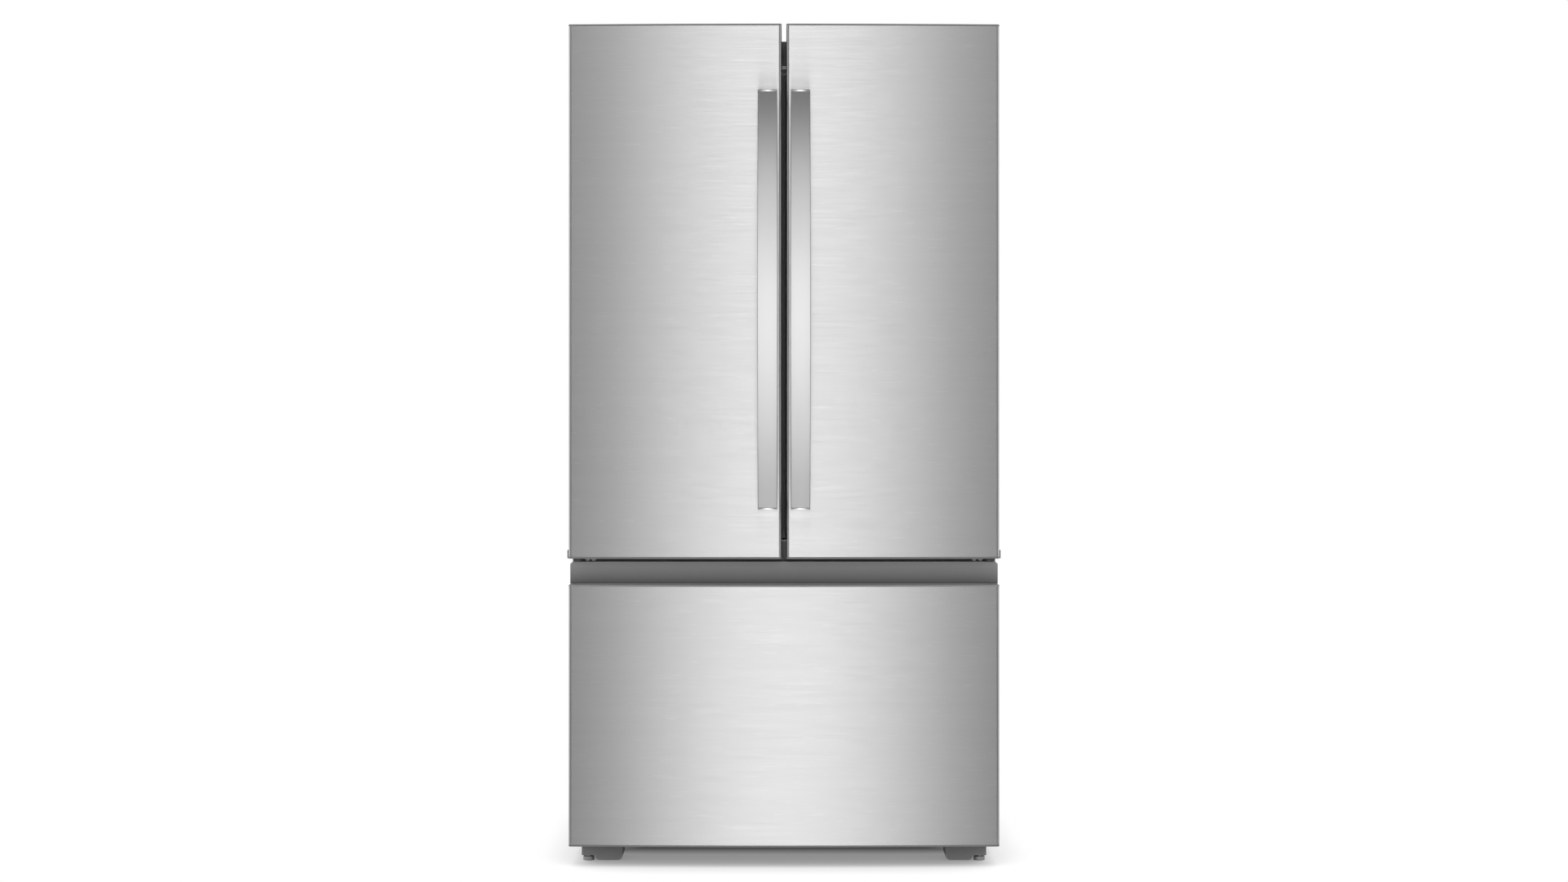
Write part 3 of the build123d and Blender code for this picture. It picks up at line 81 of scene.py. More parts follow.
# Share of the front light by elevation in degrees, brightest a little above the horizon
LIFT_STOPS = (
    (-30.0, 0.4), (-3.0, 0.88), (3.0, 1.0), (9.8, 0.66),
    (17.0, 0.06), (24.0, 0.1), (38.0, 0.42), (90.0, 0.44),
)

# Floor: its side in metres and its white
FLOOR_SIZE = 60.0
FLOOR_WHITE = 0.85
# Share of the front light on the floor as metal reflects it: more of it further away, in a fan
# from a point behind the object, in metres
FLOOR_LIFT_LOW = 0.42
FLOOR_LIFT_HIGH = 0.92
FLOOR_LIFT_FALL = 2.8
FLOOR_FAN_CENTRE = 2.14
# Contact shade, painted into the floor's glow from how open the floor is: its reach in metres, its samples,
# and the openness that it takes from dark to plain
CONTACT_REACH = 0.25
CONTACT_SAMPLES = 32
CONTACT_FADE = (0.0, 0.7, 0.23, 1.0)
# Painted shadow: dark floor deep under the cabinet, fixed by place, by shares of these reaches from its
# middle, in metres
UNDER_MIDDLE = 0.03
UNDER_WIDTH = 0.75
UNDER_DEPTH = 0.4
UNDER_SHADOW_FADE = (0.41, 0.61, 0.2, 1.0)

# Small shapes, in metres
HANDLE_BOW = 0.016
HANDLE_BARREL = 0.001
HANDLE_ROUND = 0.0012
HANDLE_ROUND_STEPS = 5
# An odd number, so that one ring of vertices lies at the middle of the bar
HANDLE_CUTS = 47
MULLION_REACH = 0.0035
MULLION_DROP = 0.014
MULLION_TONGUE = 0.016
# Height of each pleat line of a door seal, as a share of its depth, and how far it is drawn in
GASKET_PLEATS = ((0.12, 0.0), (0.3, 0.0035), (0.48, 0.0005), (0.66, 0.0035), (0.8, 0.0))
# Radius of the small round on the sharp edges of each piece
EASED = {
    "top_hinge_covers": 0.002, "control_panel": 0.002, "air_tower": 0.002,
    "left_door_bins": 0.0008, "right_door_bins": 0.0008, "left_crisper": 0.0008, "right_crisper": 0.0008,
    "shelf_frames": 0.0008, "evaporator_cover": 0.001, "rear_panel": 0.0006,
    "left_door_caps": 0.0006, "right_door_caps": 0.0006, "drawer_bottom_cap": 0.0006,
    "left_handle_posts": 0.0005, "right_handle_posts": 0.0005, "cabinet_wrapper": 0.0005, "mullion": 0.001,
}
EASE_STEPS = 2
# Pieces whose rounds keep their full radius on short edges too
UNCLAMPED = ("air_tower", "evaporator_cover")
# Painted shade of the grip pocket: its grey at heights below its top edge, in metres, darker down the wall
# and a dark line in the groove
POCKET_PAINTED_SHADE = ((-0.0505, 0.22), (-0.0465, 0.22), (-0.0455, 0.06), (-0.043, 0.105), (0.0, 0.26))

# Limits for joining faces and for picking vertices and faces, in metres, angles and shares of a normal
MERGE = 0.000002
FLAT = math.radians(0.5)
TOUCH = 0.00005
BACK_EDGE = 0.002
MULLION_EDGE = 0.004
MULLION_FOOT = 0.02
HANDLE_SIDE_TURN = 0.1
FLANGE_TURN = 0.7
UNDERSIDE_TURN = 0.99
# Edges sharper than these angles stay sharp
SHARP = math.radians(35)
HANDLE_SHARP = math.radians(40)
GASKET_SHARP = math.radians(75)

# Brushed steel: length of a brush line over its width, lines in a band, and the short scratches
BRUSH_LENGTH = 126
BAND_LINES = 14
BAND_SHARE = 0.5
GRAIN_SPAN = (0.45, 1.2)
SCRATCH_ACROSS = 420.0
SCRATCH_ALONG = 24.0
SCRATCH_SPAN = (0.73, 0.79)
BRUSH_RELIEF = 0.0004
QUARTER_TURN = 0.25
HANDLE_BRUSH = {"axis": "Z", "roughness": 0.3, "depth": 0.01, "fineness": 260.0}

# Moulded plastic: its shades, the spread of its gloss and the strength of its grain
MOULD_SHADES = (0.93, 1.05)
MOULD_GLOSS = (-0.05, 0.06)
MOULD_STRENGTH = 0.25
TRIM_GRAIN = {"roughness": 0.42, "pebble": 900.0, "depth": 0.0002}
# The part of a noise pattern that most of its values lie in
NOISE_SPAN = (0.3, 0.7)


# Node tools

def new_finish(name, colour, roughness, metallic=0.0):
    """A material with its main shader set to one colour and gloss."""
    finish = bpy.data.materials.new(name)
    finish.use_nodes = True
    shader = finish.node_tree.nodes["Principled BSDF"]
    shader.inputs["Base Color"].default_value = (*colour, 1.0)
    shader.inputs["Roughness"].default_value = roughness
    shader.inputs["Metallic"].default_value = metallic
    return finish, finish.node_tree, shader


def grey(level):
    """A colour without a hue."""
    return (level, level, level)


def coordinates(tree, kind="Object"):
    """The place of a point, on the piece's own coordinates unless another kind is named."""
    return tree.nodes.new("ShaderNodeTexCoord").outputs[kind]


def apart(tree, vector):
    """The three values of a vector."""
    axes = tree.nodes.new("ShaderNodeSeparateXYZ")
    tree.links.new(vector, axes.inputs["Vector"])
    return axes.outputs["X"], axes.outputs["Y"], axes.outputs["Z"]


def noise(tree, stretch, detail=4.0, roughness=0.55):
    """A noise pattern on the piece's own coordinates, with its scale along each axis."""
    mapping = tree.nodes.new("ShaderNodeMapping")
    mapping.inputs["Scale"].default_value = stretch
    pattern = tree.nodes.new("ShaderNodeTexNoise")
    pattern.inputs["Scale"].default_value = 1.0
    pattern.inputs["Detail"].default_value = detail
    pattern.inputs["Roughness"].default_value = roughness
    tree.links.new(coordinates(tree), mapping.inputs["Vector"])
    tree.links.new(mapping.outputs["Vector"], pattern.inputs["Vector"])
    return pattern.outputs["Fac"]


def cells(tree, scale, output="Distance"):
    """A cell pattern on the piece's own coordinates."""
    pattern = tree.nodes.new("ShaderNodeTexVoronoi")
    pattern.inputs["Scale"].default_value = scale
    tree.links.new(coordinates(tree), pattern.inputs["Vector"])
    return pattern.outputs[output]


def ranged(tree, source, low, high, out_low, out_high):
    """A pattern's values from low to high, taken to another range."""
    ramp = tree.nodes.new("ShaderNodeMapRange")
    for name, value in (("From Min", low), ("From Max", high), ("To Min", out_low), ("To Max", out_high)):
        ramp.inputs[name].default_value = value
    tree.links.new(source, ramp.inputs["Value"])
    return ramp.outputs["Result"]


def combine(tree, operation, first, second=0.0):
    """The result of one operation on values that are each a pattern or a plain float."""
    node = tree.nodes.new("ShaderNodeMath")
    node.operation = operation
    for socket, value in zip(node.inputs, (first, second)):
        if isinstance(value, float):
            socket.default_value = value
        else:
            tree.links.new(value, socket)
    return node.outputs["Value"]


def tone_ramp(tree, source, low, high, stops, easing="LINEAR"):
    """Grey tones at given values of a source that goes from low to high."""
    ramp = tree.nodes.new("ShaderNodeValToRGB")
    ramp.color_ramp.interpolation = easing
    places = ramp.color_ramp.elements
    while len(places) < len(stops):
        places.new(0.5)
    for place, (value, level) in zip(places, stops):
        place.position = (value - low) / (high - low)
        place.color = (*grey(level), 1.0)
    tree.links.new(ranged(tree, source, low, high, 0.0, 1.0), ramp.inputs["Fac"])
    return ramp.outputs["Color"]


def brightness(tree, colour):
    """The grey level of a colour."""
    level = tree.nodes.new("ShaderNodeRGBToBW")
    tree.links.new(colour, level.inputs["Color"])
    return level.outputs["Val"]


def tint(tree, shader, source, dark, light):
    """Colours the shader from dark to light by a pattern."""
    blend = tree.nodes.new("ShaderNodeMix")
    blend.data_type = "RGBA"
    blend.inputs["A"].default_value = (*dark, 1.0)
    blend.inputs["B"].default_value = (*light, 1.0)
    tree.links.new(source, blend.inputs["Factor"])
    tree.links.new(blend.outputs["Result"], shader.inputs["Base Color"])


def gloss(tree, shader, source, low, high, span=NOISE_SPAN):
    """Takes the shader's roughness from low to high by a pattern."""
    tree.links.new(ranged(tree, source, *span, low, high), shader.inputs["Roughness"])


def relief(tree, shader, source, strength, distance):
    """Raises the surface a little by a pattern."""
    bump = tree.nodes.new("ShaderNodeBump")
    bump.inputs["Strength"].default_value = strength
    bump.inputs["Distance"].default_value = distance
    tree.links.new(source, bump.inputs["Height"])
    tree.links.new(bump.outputs["Normal"], shader.inputs["Normal"])


# Finishes

def brushed_steel(name, level, axis, roughness, depth, fineness, scratch=0.0, raised=0.0):
    """Steel with long brush lines along one axis; its highlights spread across them."""
    finish, tree, shader = new_finish(name, grey(level), roughness, metallic=1.0)

    def stretched(across, along):
        return [along if letter == axis else across for letter in "XYZ"]

    stretch = stretched(fineness, fineness / BRUSH_LENGTH)
    lines = noise(tree, stretch, detail=3.0, roughness=0.7)
    bands = noise(tree, [value / BAND_LINES for value in stretch], detail=2.0, roughness=0.5)
    grain = combine(tree, "ADD", lines, combine(tree, "MULTIPLY", bands, BAND_SHARE))
    if scratch:
        marks = noise(tree, stretched(SCRATCH_ACROSS, SCRATCH_ALONG), detail=0.0, roughness=0.4)
        scratches = ranged(tree, marks, *SCRATCH_SPAN, 0.0, scratch)
        grain = combine(tree, "ADD", grain, scratches)
        relief(tree, shader, combine(tree, "ADD", lines, scratches), raised, BRUSH_RELIEF)
    shade = ranged(tree, grain, *GRAIN_SPAN, 0.0, 1.0)
    tint(tree, shader, shade, dark=grey(level * (1 - depth)), light=grey(level * (1 + depth)))
    gloss(tree, shader, lines, roughness - depth, roughness + depth)
    shader.inputs["Anisotropic"].default_value = 1.0
    tangent = tree.nodes.new("ShaderNodeTangent")
    if axis == "X":
        tangent.direction_type = "RADIAL"
        tangent.axis = "Z"
        shader.inputs["Anisotropic Rotation"].default_value = QUARTER_TURN
    else:
        tangent.direction_type = "UV_MAP"
        tangent.uv_map = "UVMap"
    tree.links.new(tangent.outputs["Tangent"], shader.inputs["Tangent"])
    return finish


def polished_steel():
    """The bright end posts of the handles, with faint polishing marks."""
    finish, tree, shader = new_finish("polished_steel", grey(0.82), roughness=0.24, metallic=1.0)
    marks = noise(tree, (60, 400, 400), detail=3.0)
    tint(tree, shader, marks, dark=grey(0.76), light=grey(0.86))
    gloss(tree, shader, marks, 0.2, 0.28)
    return finish


def moulded_plastic(name, colour, roughness, pebble, depth):
    """Moulded plastic, or a coat of paint, with a fine grain."""
    finish, tree, shader = new_finish(name, colour, roughness)
    shade = noise(tree, (9, 9, 9), detail=2.0)
    dark, light = ([min(1.0, value * share) for value in colour] for share in MOULD_SHADES)
    tint(tree, shader, shade, dark, light)
    grain = noise(tree, (pebble, pebble, pebble), detail=2.0, roughness=0.6)
    gloss(tree, shader, grain, *(roughness + change for change in MOULD_GLOSS))
    relief(tree, shader, grain, MOULD_STRENGTH, depth)
    return finish


def pocket_trim_painted_shade():
    """Plastic of the grip pocket with painted shade: darker towards the foot of its wall, with a dark
    painted line of shade along the groove.
    """
    finish = moulded_plastic("pocket_trim_painted_shade", grey(0.245), **TRIM_GRAIN)
    tree = finish.node_tree
    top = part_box("drawer_pocket")[1].z
    stops = [(top + height, level) for height, level in POCKET_PAINTED_SHADE]
    # Painted shade: the base colour follows the height, not the light
    height = apart(tree, coordinates(tree))[2]
    painted_shade_tone = tone_ramp(tree, height, stops[0][0], stops[-1][0], stops)
    tree.links.new(painted_shade_tone, tree.nodes["Principled BSDF"].inputs["Base Color"])
    return finish


def cabinet_paint():
    """Textured grey paint of the cabinet, like fine leather grain."""
    finish, tree, shader = new_finish("cabinet_paint", grey(0.3), roughness=0.42)
    pebbles = cells(tree, scale=520.0)
    waves = noise(tree, (240, 240, 240), detail=3.0)
    skin = combine(tree, "ADD", pebbles, combine(tree, "MULTIPLY", waves, 0.6))
    cloud = noise(tree, (2.5, 2.5, 2.5), detail=2.0)
    tint(tree, shader, cloud, dark=(0.275, 0.277, 0.282), light=(0.315, 0.317, 0.322))
    gloss(tree, shader, skin, 0.36, 0.52, span=(0.2, 1.0))
    relief(tree, shader, skin, strength=0.35, distance=0.0004)
    return finish


def zinc_sheet(name, level):
    """Galvanised sheet with its crystal spangle."""
    finish, tree, shader = new_finish(name, grey(level), roughness=0.45, metallic=0.9)
    spangle = brightness(tree, cells(tree, scale=70.0, output="Color"))
    tint(tree, shader, spangle, dark=grey(level * 0.86), light=grey(level * 1.1))
    gloss(tree, shader, spangle, 0.36, 0.55, span=(0.1, 0.9))
    relief(tree, shader, noise(tree, (300, 300, 300), detail=2.0), strength=0.08, distance=0.0003)
    return finish


def dark_steel():
    """Dark coated steel of hinges and rails."""
    finish, tree, shader = new_finish("dark_steel", grey(0.1), roughness=0.4, metallic=0.6)
    coat = noise(tree, (160, 160, 160), detail=3.0)
    tint(tree, shader, coat, dark=grey(0.085), light=grey(0.125))
    gloss(tree, shader, coat, 0.33, 0.48)
    relief(tree, shader, coat, strength=0.12, distance=0.0002)
    return finish


def clear_plastic():
    """Clear bin plastic with a slight waviness."""
    finish, tree, shader = new_finish("clear_plastic", (0.97, 0.985, 0.99), roughness=0.03)
    shader.inputs["Transmission Weight"].default_value = 1.0
    shader.inputs["IOR"].default_value = 1.18
    shader.inputs["Alpha"].default_value = 0.6
    waves = noise(tree, (14, 14, 14), detail=2.0)
    tint(tree, shader, waves, dark=(0.965, 0.98, 0.985), light=(0.985, 0.995, 0.997))
    gloss(tree, shader, waves, 0.015, 0.05)
    relief(tree, shader, waves, strength=0.06, distance=0.0005)
    return finish


def shelf_glass():
    """Tempered shelf glass with a green cast."""
    finish, tree, shader = new_finish("shelf_glass", (0.82, 0.93, 0.9), roughness=0.03)
    shader.inputs["Transmission Weight"].default_value = 0.95
    shader.inputs["IOR"].default_value = 1.45
    film = noise(tree, (18, 18, 18), detail=2.0)
    tint(tree, shader, film, dark=(0.79, 0.915, 0.88), light=(0.86, 0.95, 0.93))
    gloss(tree, shader, film, 0.02, 0.06)
    return finish


def soft_rubber():
    """Grey gasket rubber."""
    finish, tree, shader = new_finish("soft_rubber", grey(0.2), roughness=0.6)
    bloom = noise(tree, (30, 30, 30), detail=3.0)
    tint(tree, shader, bloom, dark=grey(0.17), light=grey(0.23))
    gloss(tree, shader, bloom, 0.52, 0.68)
    relief(tree, shader, noise(tree, (700, 700, 700), detail=1.0), strength=0.15, distance=0.0002)
    return finish


def foam():
    """Yellowish insulation foam with its small cells."""
    finish, tree, shader = new_finish("foam", (0.8, 0.68, 0.38), roughness=0.9)
    bubbles = cells(tree, scale=900.0)
    tint(tree, shader, bubbles, dark=(0.68, 0.55, 0.27), light=(0.85, 0.74, 0.45))
    relief(tree, shader, bubbles, strength=0.4, distance=0.0006)
    return finish


def fin_metal():
    """Rolled aluminium of fins and tubes."""
    finish, tree, shader = new_finish("fin_metal", grey(0.74), roughness=0.34, metallic=1.0)
    rolling = noise(tree, (40, 40, 500), detail=2.0)
    tint(tree, shader, rolling, dark=grey(0.66), light=grey(0.8))
    gloss(tree, shader, rolling, 0.28, 0.42)
    return finish


# One finish for each material slot of the record
FINISHES = {
    "stainless_steel": brushed_steel(
        "door_steel", 0.8, axis="X", roughness=0.42, depth=0.038, fineness=760.0, scratch=0.9, raised=0.06
    ),
    "handle_steel": brushed_steel("handle_steel", 0.83, **HANDLE_BRUSH),
    "post_steel": polished_steel(),
    "grey_trim": moulded_plastic("grey_trim", (0.16, 0.16, 0.162), **TRIM_GRAIN),
    "painted_cabinet": cabinet_paint(),
    "zinc_steel": zinc_sheet("zinc_sheet", 0.5),
    "hinge_steel": dark_steel(),
    "insulation_foam": foam(),
    "white_liner": moulded_plastic(
        "white_liner", (0.8, 0.81, 0.82), roughness=0.3, pebble=300.0, depth=0.00015
    ),
    "white_trim": moulded_plastic(
        "white_trim", (0.76, 0.77, 0.78), roughness=0.36, pebble=600.0, depth=0.00015
    ),
    "gasket_rubber": soft_rubber(),
    "clear_plastic": clear_plastic(),
    "shelf_glass": shelf_glass(),
    "black_plastic": moulded_plastic(
        "black_plastic", grey(0.03), roughness=0.48, pebble=700.0, depth=0.0002
    ),
    "foot_plastic": moulded_plastic(
        "foot_plastic", grey(0.22), roughness=0.5, pebble=800.0, depth=0.0003
    ),
    "compressor_black": moulded_plastic(
        "compressor_enamel", grey(0.02), roughness=0.22, pebble=200.0, depth=0.0003
    ),
    "fin_aluminium": fin_metal(),
    "roller_plastic": moulded_plastic(
        "roller_plastic", grey(0.06), roughness=0.45, pebble=500.0, depth=0.0002
    ),
    "leg_zinc": zinc_sheet("leg_zinc", 0.6),
}
CLEAR_SLOTS = ("clear_plastic", "shelf_glass")
# Trim that differs from the other pieces of its slot: the grip pocket with painted shade, and a darker
# mullion, partly its own dark grey and partly painted shade of the gap between the doors
OWN_FINISHES = {
    "drawer_pocket": pocket_trim_painted_shade(),
    # Partly painted shade: darker than the other grey trim, so the gap between the doors reads dark
    "mullion": moulded_plastic("mullion_dark_trim_and_painted_shade", grey(0.14), **TRIM_GRAIN),
}
# Finishes for some faces of a piece only, both painted shade: darker steel on the sides of the handle bars,
# and near-black paint on the cabinet's front flange, seen in the shaded gaps of the doors
HANDLE_SIDE_PAINTED_SHADE = brushed_steel("handle_side_painted_shade_steel", 0.5, **HANDLE_BRUSH)
# Painted shade: near-black paint for the front flange, which is seen only in the shaded gaps of the doors
FLANGE_PAINTED_SHADE = moulded_plastic("flange_painted_shade", grey(0.08), **TRIM_GRAIN)


def dress(piece, node):
    """Gives a piece the finish of its node; a clear one lets the lamps through."""
    slot = SLOT_OF[node]
    finish = OWN_FINISHES.get(node, FINISHES[slot])
    piece.visible_shadow = slot not in CLEAR_SLOTS
    if piece.material_slots:
        for place in piece.material_slots:
            place.material = finish
    else:
        piece.data.materials.append(finish)


for node, piece in frame["nodes"].items():
    dress(piece, node)


# Modelling tools

def select_only(piece):
    """Makes one piece the only selected and the active one."""
    bpy.ops.object.select_all(action="DESELECT")
    piece.select_set(True)
    bpy.context.view_layer.objects.active = piece


def stand_in(piece, node):
    """Seats a new piece on its body, in place of a node."""
    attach(piece, BODY_OF[node])
    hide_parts(node)
    dress(piece, node)


def fresh_copy(node, name):
    """A node's shape as a new piece, with its faces joined up."""
    piece = bpy.data.objects.new(name, frame["nodes"][node].data.copy())
    bpy.context.scene.collection.objects.link(piece)
    select_only(piece)
    bpy.ops.mesh.customdata_custom_splitnormals_clear()
    bpy.ops.object.mode_set(mode="EDIT")
    bpy.ops.mesh.select_all(action="SELECT")
    bpy.ops.mesh.remove_doubles(threshold=MERGE)
    bpy.ops.mesh.dissolve_limited(angle_limit=FLAT)
    bpy.ops.object.mode_set(mode="OBJECT")
    return piece


def pick(piece, kind, test):
    """Selects, in edit mode, the vertices, edges or faces of a piece that pass a test."""
    bpy.ops.mesh.select_mode(type=kind)
    bpy.ops.mesh.select_all(action="DESELECT")
    mesh = bmesh.from_edit_mesh(piece.data)
    for item in {"VERT": mesh.verts, "EDGE": mesh.edges, "FACE": mesh.faces}[kind]:
        item.select_set(test(item))
    bmesh.update_edit_mesh(piece.data)


def second_finish(piece, finish, test):
    """Gives a piece another finish on the faces that pass a test."""
    select_only(piece)
    piece.data.materials.append(finish)
    piece.active_material_index = len(piece.material_slots) - 1
    bpy.ops.object.mode_set(mode="EDIT")
    pick(piece, "FACE", test)
    bpy.ops.object.material_slot_assign()
    bpy.ops.object.mode_set(mode="OBJECT")


def softened(node, radius):
    """A node's shape with its sharp edges eased by a small round."""
    piece = fresh_copy(node, "eased_" + node)
    ease = piece.modifiers.new("ease", "BEVEL")
    ease.width = radius
    ease.segments = EASE_STEPS
    ease.limit_method = "ANGLE"
    ease.angle_limit = SHARP
    ease.use_clamp_overlap = node not in UNCLAMPED
    bpy.ops.object.modifier_apply(modifier="ease")
    bpy.ops.object.shade_smooth_by_angle(angle=SHARP)
    stand_in(piece, node)


def handle_bar(side):
    """The bar of a handle: bowed outward, a little wider in the middle, with rounded long edges."""
    node = side + "_handle"
    low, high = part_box(node)
    middle = (low + high) / 2
    half_length = (high.z - low.z) / 2
    width = high.x - low.x - 2 * HANDLE_BARREL
    depth = high.y - low.y - HANDLE_BOW
    bpy.ops.object.select_all(action="DESELECT")
    bpy.ops.mesh.primitive_cube_add(size=1.0, location=(middle.x, high.y - depth / 2, middle.z))
    piece = bpy.context.object
    piece.name = side + "_handle_bar"
    piece.scale = (width, depth, 2 * half_length)
    bpy.ops.object.transform_apply(location=True, rotation=True, scale=True)
    bpy.ops.object.mode_set(mode="EDIT")

    def upright(edge):
        return abs(edge.verts[0].co.z - edge.verts[1].co.z) > TOUCH

    pick(piece, "EDGE", upright)
    bpy.ops.mesh.subdivide(number_cuts=HANDLE_CUTS)
    pick(piece, "EDGE", upright)
    bpy.ops.mesh.bevel(offset=HANDLE_ROUND, segments=HANDLE_ROUND_STEPS, affect="EDGES")
    pick(piece, "VERT", lambda vertex: abs(vertex.co.z - middle.z) < TOUCH)
    bowing = {
        "use_proportional_edit": True, "proportional_edit_falloff": "INVERSE_SQUARE",
        "proportional_size": half_length,
    }
    bpy.ops.transform.translate(value=(0.0, -HANDLE_BOW, 0.0), **bowing)
    bpy.ops.transform.resize(value=(1 + 2 * HANDLE_BARREL / width, 1.0, 1.0), **bowing)
    bpy.ops.mesh.select_all(action="SELECT")
    bpy.ops.uv.cube_project(cube_size=1.0)
    bpy.ops.object.mode_set(mode="OBJECT")
    bpy.ops.object.shade_smooth_by_angle(angle=HANDLE_SHARP)
    stand_in(piece, node)
    # Painted shade: the sides of the bar take a darker copy of the handle steel
    second_finish(piece, HANDLE_SIDE_PAINTED_SHADE, lambda face: abs(face.normal.x) > HANDLE_SIDE_TURN)


def bellows_gasket(node):
    """A soft door seal: a foot on the door, a pleated waist and a magnet lip."""
    piece = fresh_copy(node, "bellows_" + node)
    low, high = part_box(node)
    depth = high.y - low.y
    bpy.ops.object.mode_set(mode="EDIT")
    for share, _ in GASKET_PLEATS:
        bpy.ops.mesh.select_all(action="SELECT")
        bpy.ops.mesh.bisect(plane_co=(0.0, low.y + share * depth, 0.0), plane_no=(0.0, 1.0, 0.0))
    for share, pinch in GASKET_PLEATS:
        level = low.y + share * depth
        pick(piece, "VERT", lambda vertex: abs(vertex.co.y - level) < TOUCH)
        bpy.ops.transform.shrink_fatten(value=-pinch)
    bpy.ops.object.mode_set(mode="OBJECT")
    bpy.ops.object.shade_smooth_by_angle(angle=GASKET_SHARP)
    stand_in(piece, node)


def close_back_sheet():
    """Draws the top edge of the back sheet up to the cabinet's top sheet."""
    piece = bpy.data.objects["eased_rear_panel"]
    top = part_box("rear_panel")[1].z
    select_only(piece)
    bpy.ops.object.mode_set(mode="EDIT")
    pick(piece, "VERT", lambda vertex: vertex.co.z > top - BACK_EDGE)
    bpy.ops.transform.translate(value=(0.0, 0.0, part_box("cabinet_foam")[1].z - top))
    bpy.ops.object.mode_set(mode="OBJECT")


def widen_mullion():
    """Draws the free edge of the mullion out over the gap of the doors, and a tongue down to the sill."""
    piece = bpy.data.objects["eased_mullion"]
    low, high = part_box("mullion")
    split = high.x - MULLION_TONGUE
    select_only(piece)
    bpy.ops.object.mode_set(mode="EDIT")
    pick(piece, "VERT", lambda vertex: vertex.co.x > high.x - MULLION_EDGE)
    bpy.ops.transform.translate(value=(MULLION_REACH, 0.0, 0.0))
    bpy.ops.mesh.select_all(action="SELECT")
    bpy.ops.mesh.bisect(plane_co=(split, 0.0, 0.0), plane_no=(1.0, 0.0, 0.0))

    def underside(face):
        middle = face.calc_center_median()
        return face.normal.z < -UNDERSIDE_TURN and middle.x > split and middle.z < low.z + MULLION_FOOT

    pick(piece, "FACE", underside)
    bpy.ops.mesh.extrude_region_move(TRANSFORM_OT_translate={"value": (0.0, 0.0, -MULLION_DROP)})
    bpy.ops.object.mode_set(mode="OBJECT")
    bpy.ops.object.shade_smooth_by_angle(angle=SHARP)


for side in SIDES:
    handle_bar(side)
for node in ("left_door_gasket", "right_door_gasket", "drawer_gasket"):
    bellows_gasket(node)
for node, radius in EASED.items():
    softened(node, radius)
close_back_sheet()
widen_mullion()
# Painted shade: the cabinet's front flange gets the near-black paint
second_finish(
    bpy.data.objects["eased_cabinet_wrapper"], FLANGE_PAINTED_SHADE, lambda face: face.normal.y < -FLANGE_TURN
)


# Stage: floor, world, lamps and camera

def bell(tree, angle, half_width):
    """A smooth hump over an angle, 1 at zero."""
    share = combine(tree, "DIVIDE", angle, half_width)
    square = combine(tree, "MULTIPLY", share, share)
    return combine(tree, "POWER", math.exp(-1.0), square)


def fade(tree, source, start, end, first, second):
    """One brightness giving way to another while a value goes from start to end."""
    blend = tree.nodes.new("ShaderNodeMix")
    for socket, value in (("A", first), ("B", second)):
        if isinstance(value, float):
            blend.inputs[socket].default_value = value
        else:
            tree.links.new(value, blend.inputs[socket])
    tree.links.new(ranged(tree, source, start, end, 0.0, 1.0), blend.inputs["Factor"])
    return blend.outputs["Result"]


def studio_ring(tree, azimuth, lift):
    """What metal reflects around the object: a softbox in front, dimmer sides, then a pale surround."""
    aside = combine(tree, "ABSOLUTE", azimuth)
    softbox = combine(tree, "MULTIPLY", bell(tree, azimuth, SOFTBOX_HALF_WIDTH), SOFTBOX_PEAK)
    front = fade(tree, aside, *SOFTBOX_END, softbox, SIDE_LEVEL)
    front = combine(tree, "MULTIPLY", front, lift)
    return fade(tree, aside, *SURROUND_START, front, SURROUND_LEVEL)


def sky_lift(tree, elevation):
    """The share of the front light that comes from each elevation."""
    stops = [(math.radians(degrees), level) for degrees, level in LIFT_STOPS]
    return brightness(tree, tone_ramp(tree, elevation, -math.pi / 2, math.pi / 2, stops, "EASE"))


def floor_painted_shade(tree, x, y):
    """Painted shade of the floor: dark close to what stands on it, and a painted shadow fixed deep under the
    cabinet.
    """
    nearness = tree.nodes.new("ShaderNodeAmbientOcclusion")
    nearness.samples = CONTACT_SAMPLES
    nearness.inputs["Distance"].default_value = CONTACT_REACH
    contact = ranged(tree, nearness.outputs["AO"], *CONTACT_FADE)
    across = combine(tree, "DIVIDE", combine(tree, "ABSOLUTE", x), UNDER_WIDTH)
    along = combine(tree, "SUBTRACT", y, UNDER_MIDDLE)
    along = combine(tree, "DIVIDE", combine(tree, "ABSOLUTE", along), UNDER_DEPTH)
    # Painted shadow by place on the floor, not by the light
    deep = ranged(tree, combine(tree, "MAXIMUM", across, along), *UNDER_SHADOW_FADE)
    return combine(tree, "MULTIPLY", contact, deep)


def floor_studio(tree, place, x, y):
    """The studio's light on the floor as metal reflects it, spread out like a fan."""
    forward = combine(tree, "SUBTRACT", FLOOR_FAN_CENTRE, y)
    azimuth = combine(tree, "ARCTAN2", x, forward)
    reach = tree.nodes.new("ShaderNodeVectorMath")
    reach.operation = "LENGTH"
    tree.links.new(place, reach.inputs[0])
    lift = combine(tree, "DIVIDE", FLOOR_LIFT_FALL, reach.outputs["Value"])
    lift = combine(tree, "MAXIMUM", combine(tree, "SUBTRACT", FLOOR_LIFT_HIGH, lift), FLOOR_LIFT_LOW)
    return studio_ring(tree, azimuth, lift)


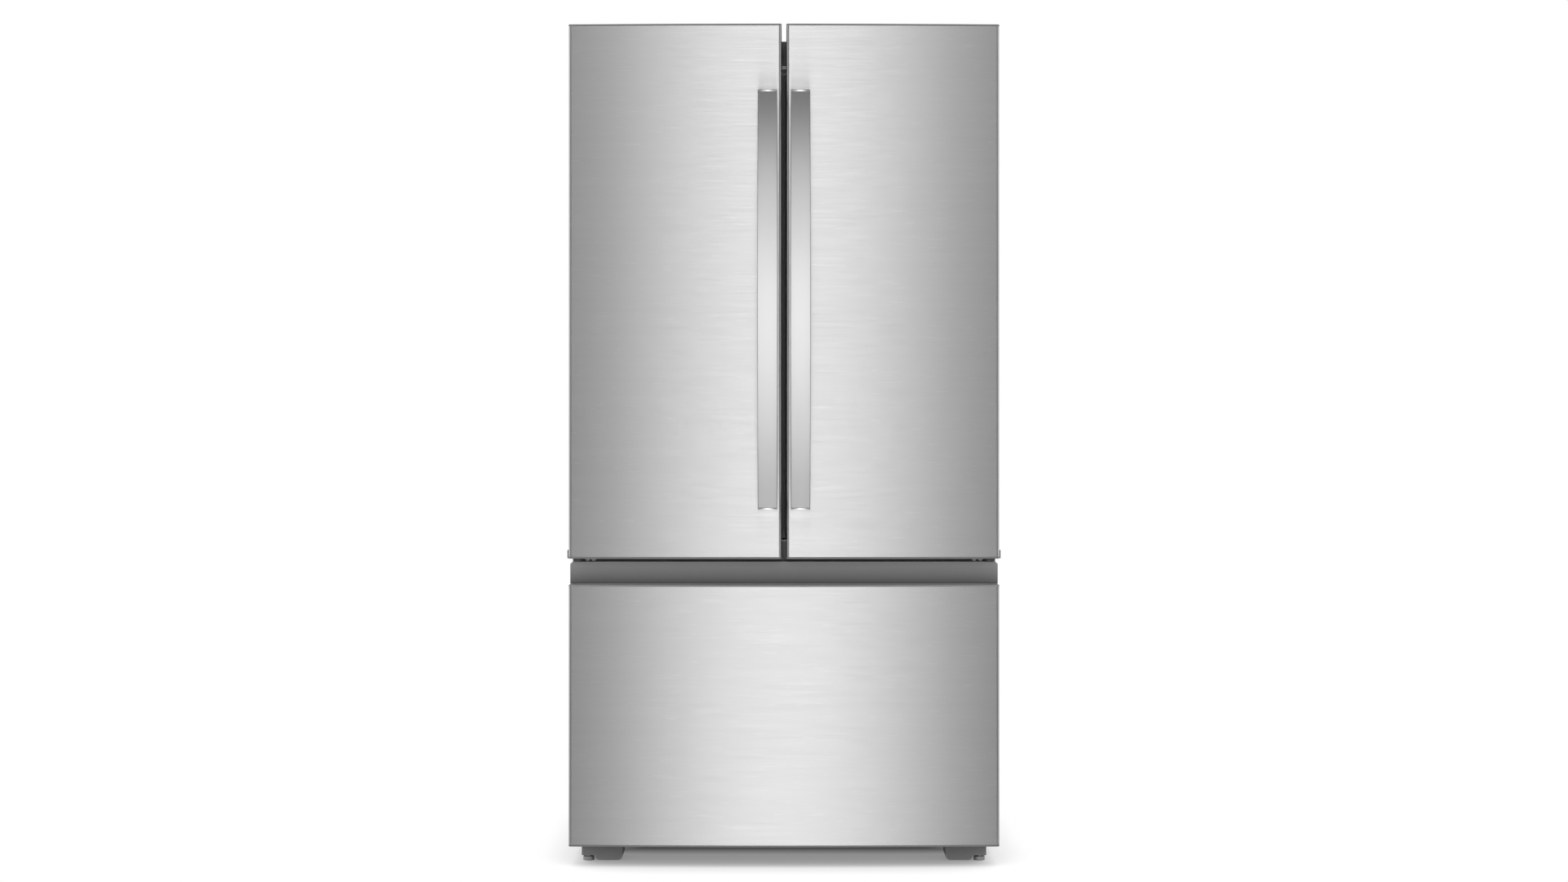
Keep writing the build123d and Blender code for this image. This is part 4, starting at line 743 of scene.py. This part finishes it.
def pale_floor():
    """A plain white floor that glows, darkened only by painted shade close to what stands on it and under
    the cabinet.
    """
    bpy.ops.object.select_all(action="DESELECT")
    bpy.ops.mesh.primitive_plane_add(size=FLOOR_SIZE)
    floor = bpy.context.object
    floor.name = "floor"
    finish = bpy.data.materials.new("floor_white")
    finish.use_nodes = True
    tree = finish.node_tree
    tree.nodes.remove(tree.nodes["Principled BSDF"])
    place = coordinates(tree)
    x, y, _ = apart(tree, place)
    rays = tree.nodes.new("ShaderNodeLightPath").outputs
    mirrored = fade(tree, rays["Is Glossy Ray"], 0.0, 1.0, 1.0, floor_studio(tree, place, x, y))
    glow = tree.nodes.new("ShaderNodeEmission")
    tree.links.new(combine(tree, "MULTIPLY", floor_painted_shade(tree, x, y), mirrored), glow.inputs["Strength"])
    plain = tree.nodes.new("ShaderNodeBsdfDiffuse")
    plain.inputs["Color"].default_value = (*grey(FLOOR_WHITE), 1.0)
    seen = combine(tree, "MAXIMUM", rays["Is Camera Ray"], rays["Is Transmission Ray"])
    seen = combine(tree, "MAXIMUM", seen, rays["Is Glossy Ray"])
    choice = tree.nodes.new("ShaderNodeMixShader")
    tree.links.new(seen, choice.inputs["Fac"])
    tree.links.new(plain.outputs["BSDF"], choice.inputs[1])
    tree.links.new(glow.outputs["Emission"], choice.inputs[2])
    tree.links.new(choice.outputs["Shader"], tree.nodes["Material Output"].inputs["Surface"])
    floor.data.materials.append(finish)


def studio_world():
    """White where the camera sees it; the studio's lights where metal reflects it."""
    world = bpy.data.worlds.new("studio")
    bpy.context.scene.world = world
    world.use_nodes = True
    tree = world.node_tree
    x, y, z = apart(tree, coordinates(tree, "Generated"))
    azimuth = combine(tree, "ARCTAN2", x, combine(tree, "MULTIPLY", y, -1.0))
    studio = studio_ring(tree, azimuth, sky_lift(tree, combine(tree, "ARCSINE", z)))
    rays = tree.nodes.new("ShaderNodeLightPath").outputs
    white = combine(tree, "MAXIMUM", rays["Is Camera Ray"], rays["Is Transmission Ray"])
    lit = fade(tree, rays["Is Glossy Ray"], 0.0, 1.0, AMBIENT, studio)
    background = tree.nodes["Background"]
    background.inputs["Color"].default_value = (1.0, 1.0, 1.0, 1.0)
    tree.links.new(fade(tree, white, 0.0, 1.0, lit, 1.0), background.inputs["Strength"])


def lamp(name, place, aim, power):
    """A soft square lamp aimed at a height above the middle of the floor."""
    data = bpy.data.lights.new(name, "AREA")
    data.size = LAMP_SIZE
    data.energy = power
    light = bpy.data.objects.new(name, data)
    bpy.context.scene.collection.objects.link(light)
    light.location = place
    light.rotation_euler = (Vector((0.0, 0.0, aim)) - Vector(place)).to_track_quat("-Z", "Y").to_euler()
    light.visible_glossy = False


def front_camera():
    """The camera of the main view."""
    data = bpy.data.cameras.new("front_camera")
    data.lens = CAMERA_LENS
    data.sensor_width = SENSOR_WIDTH
    data.shift_y = -CAMERA_DROP / PICTURE_WIDTH
    camera = bpy.data.objects.new("front_camera", data)
    camera.location = (0.0, -CAMERA_BACK, CAMERA_HEIGHT)
    camera.rotation_euler = (math.radians(90), 0.0, 0.0)
    bpy.context.scene.collection.objects.link(camera)
    bpy.context.scene.camera = camera


pale_floor()
studio_world()
for name, (place, aim, power) in LAMPS.items():
    lamp(name, place, aim, power)
front_camera()
bpy.context.scene.view_settings.view_transform = "Standard"
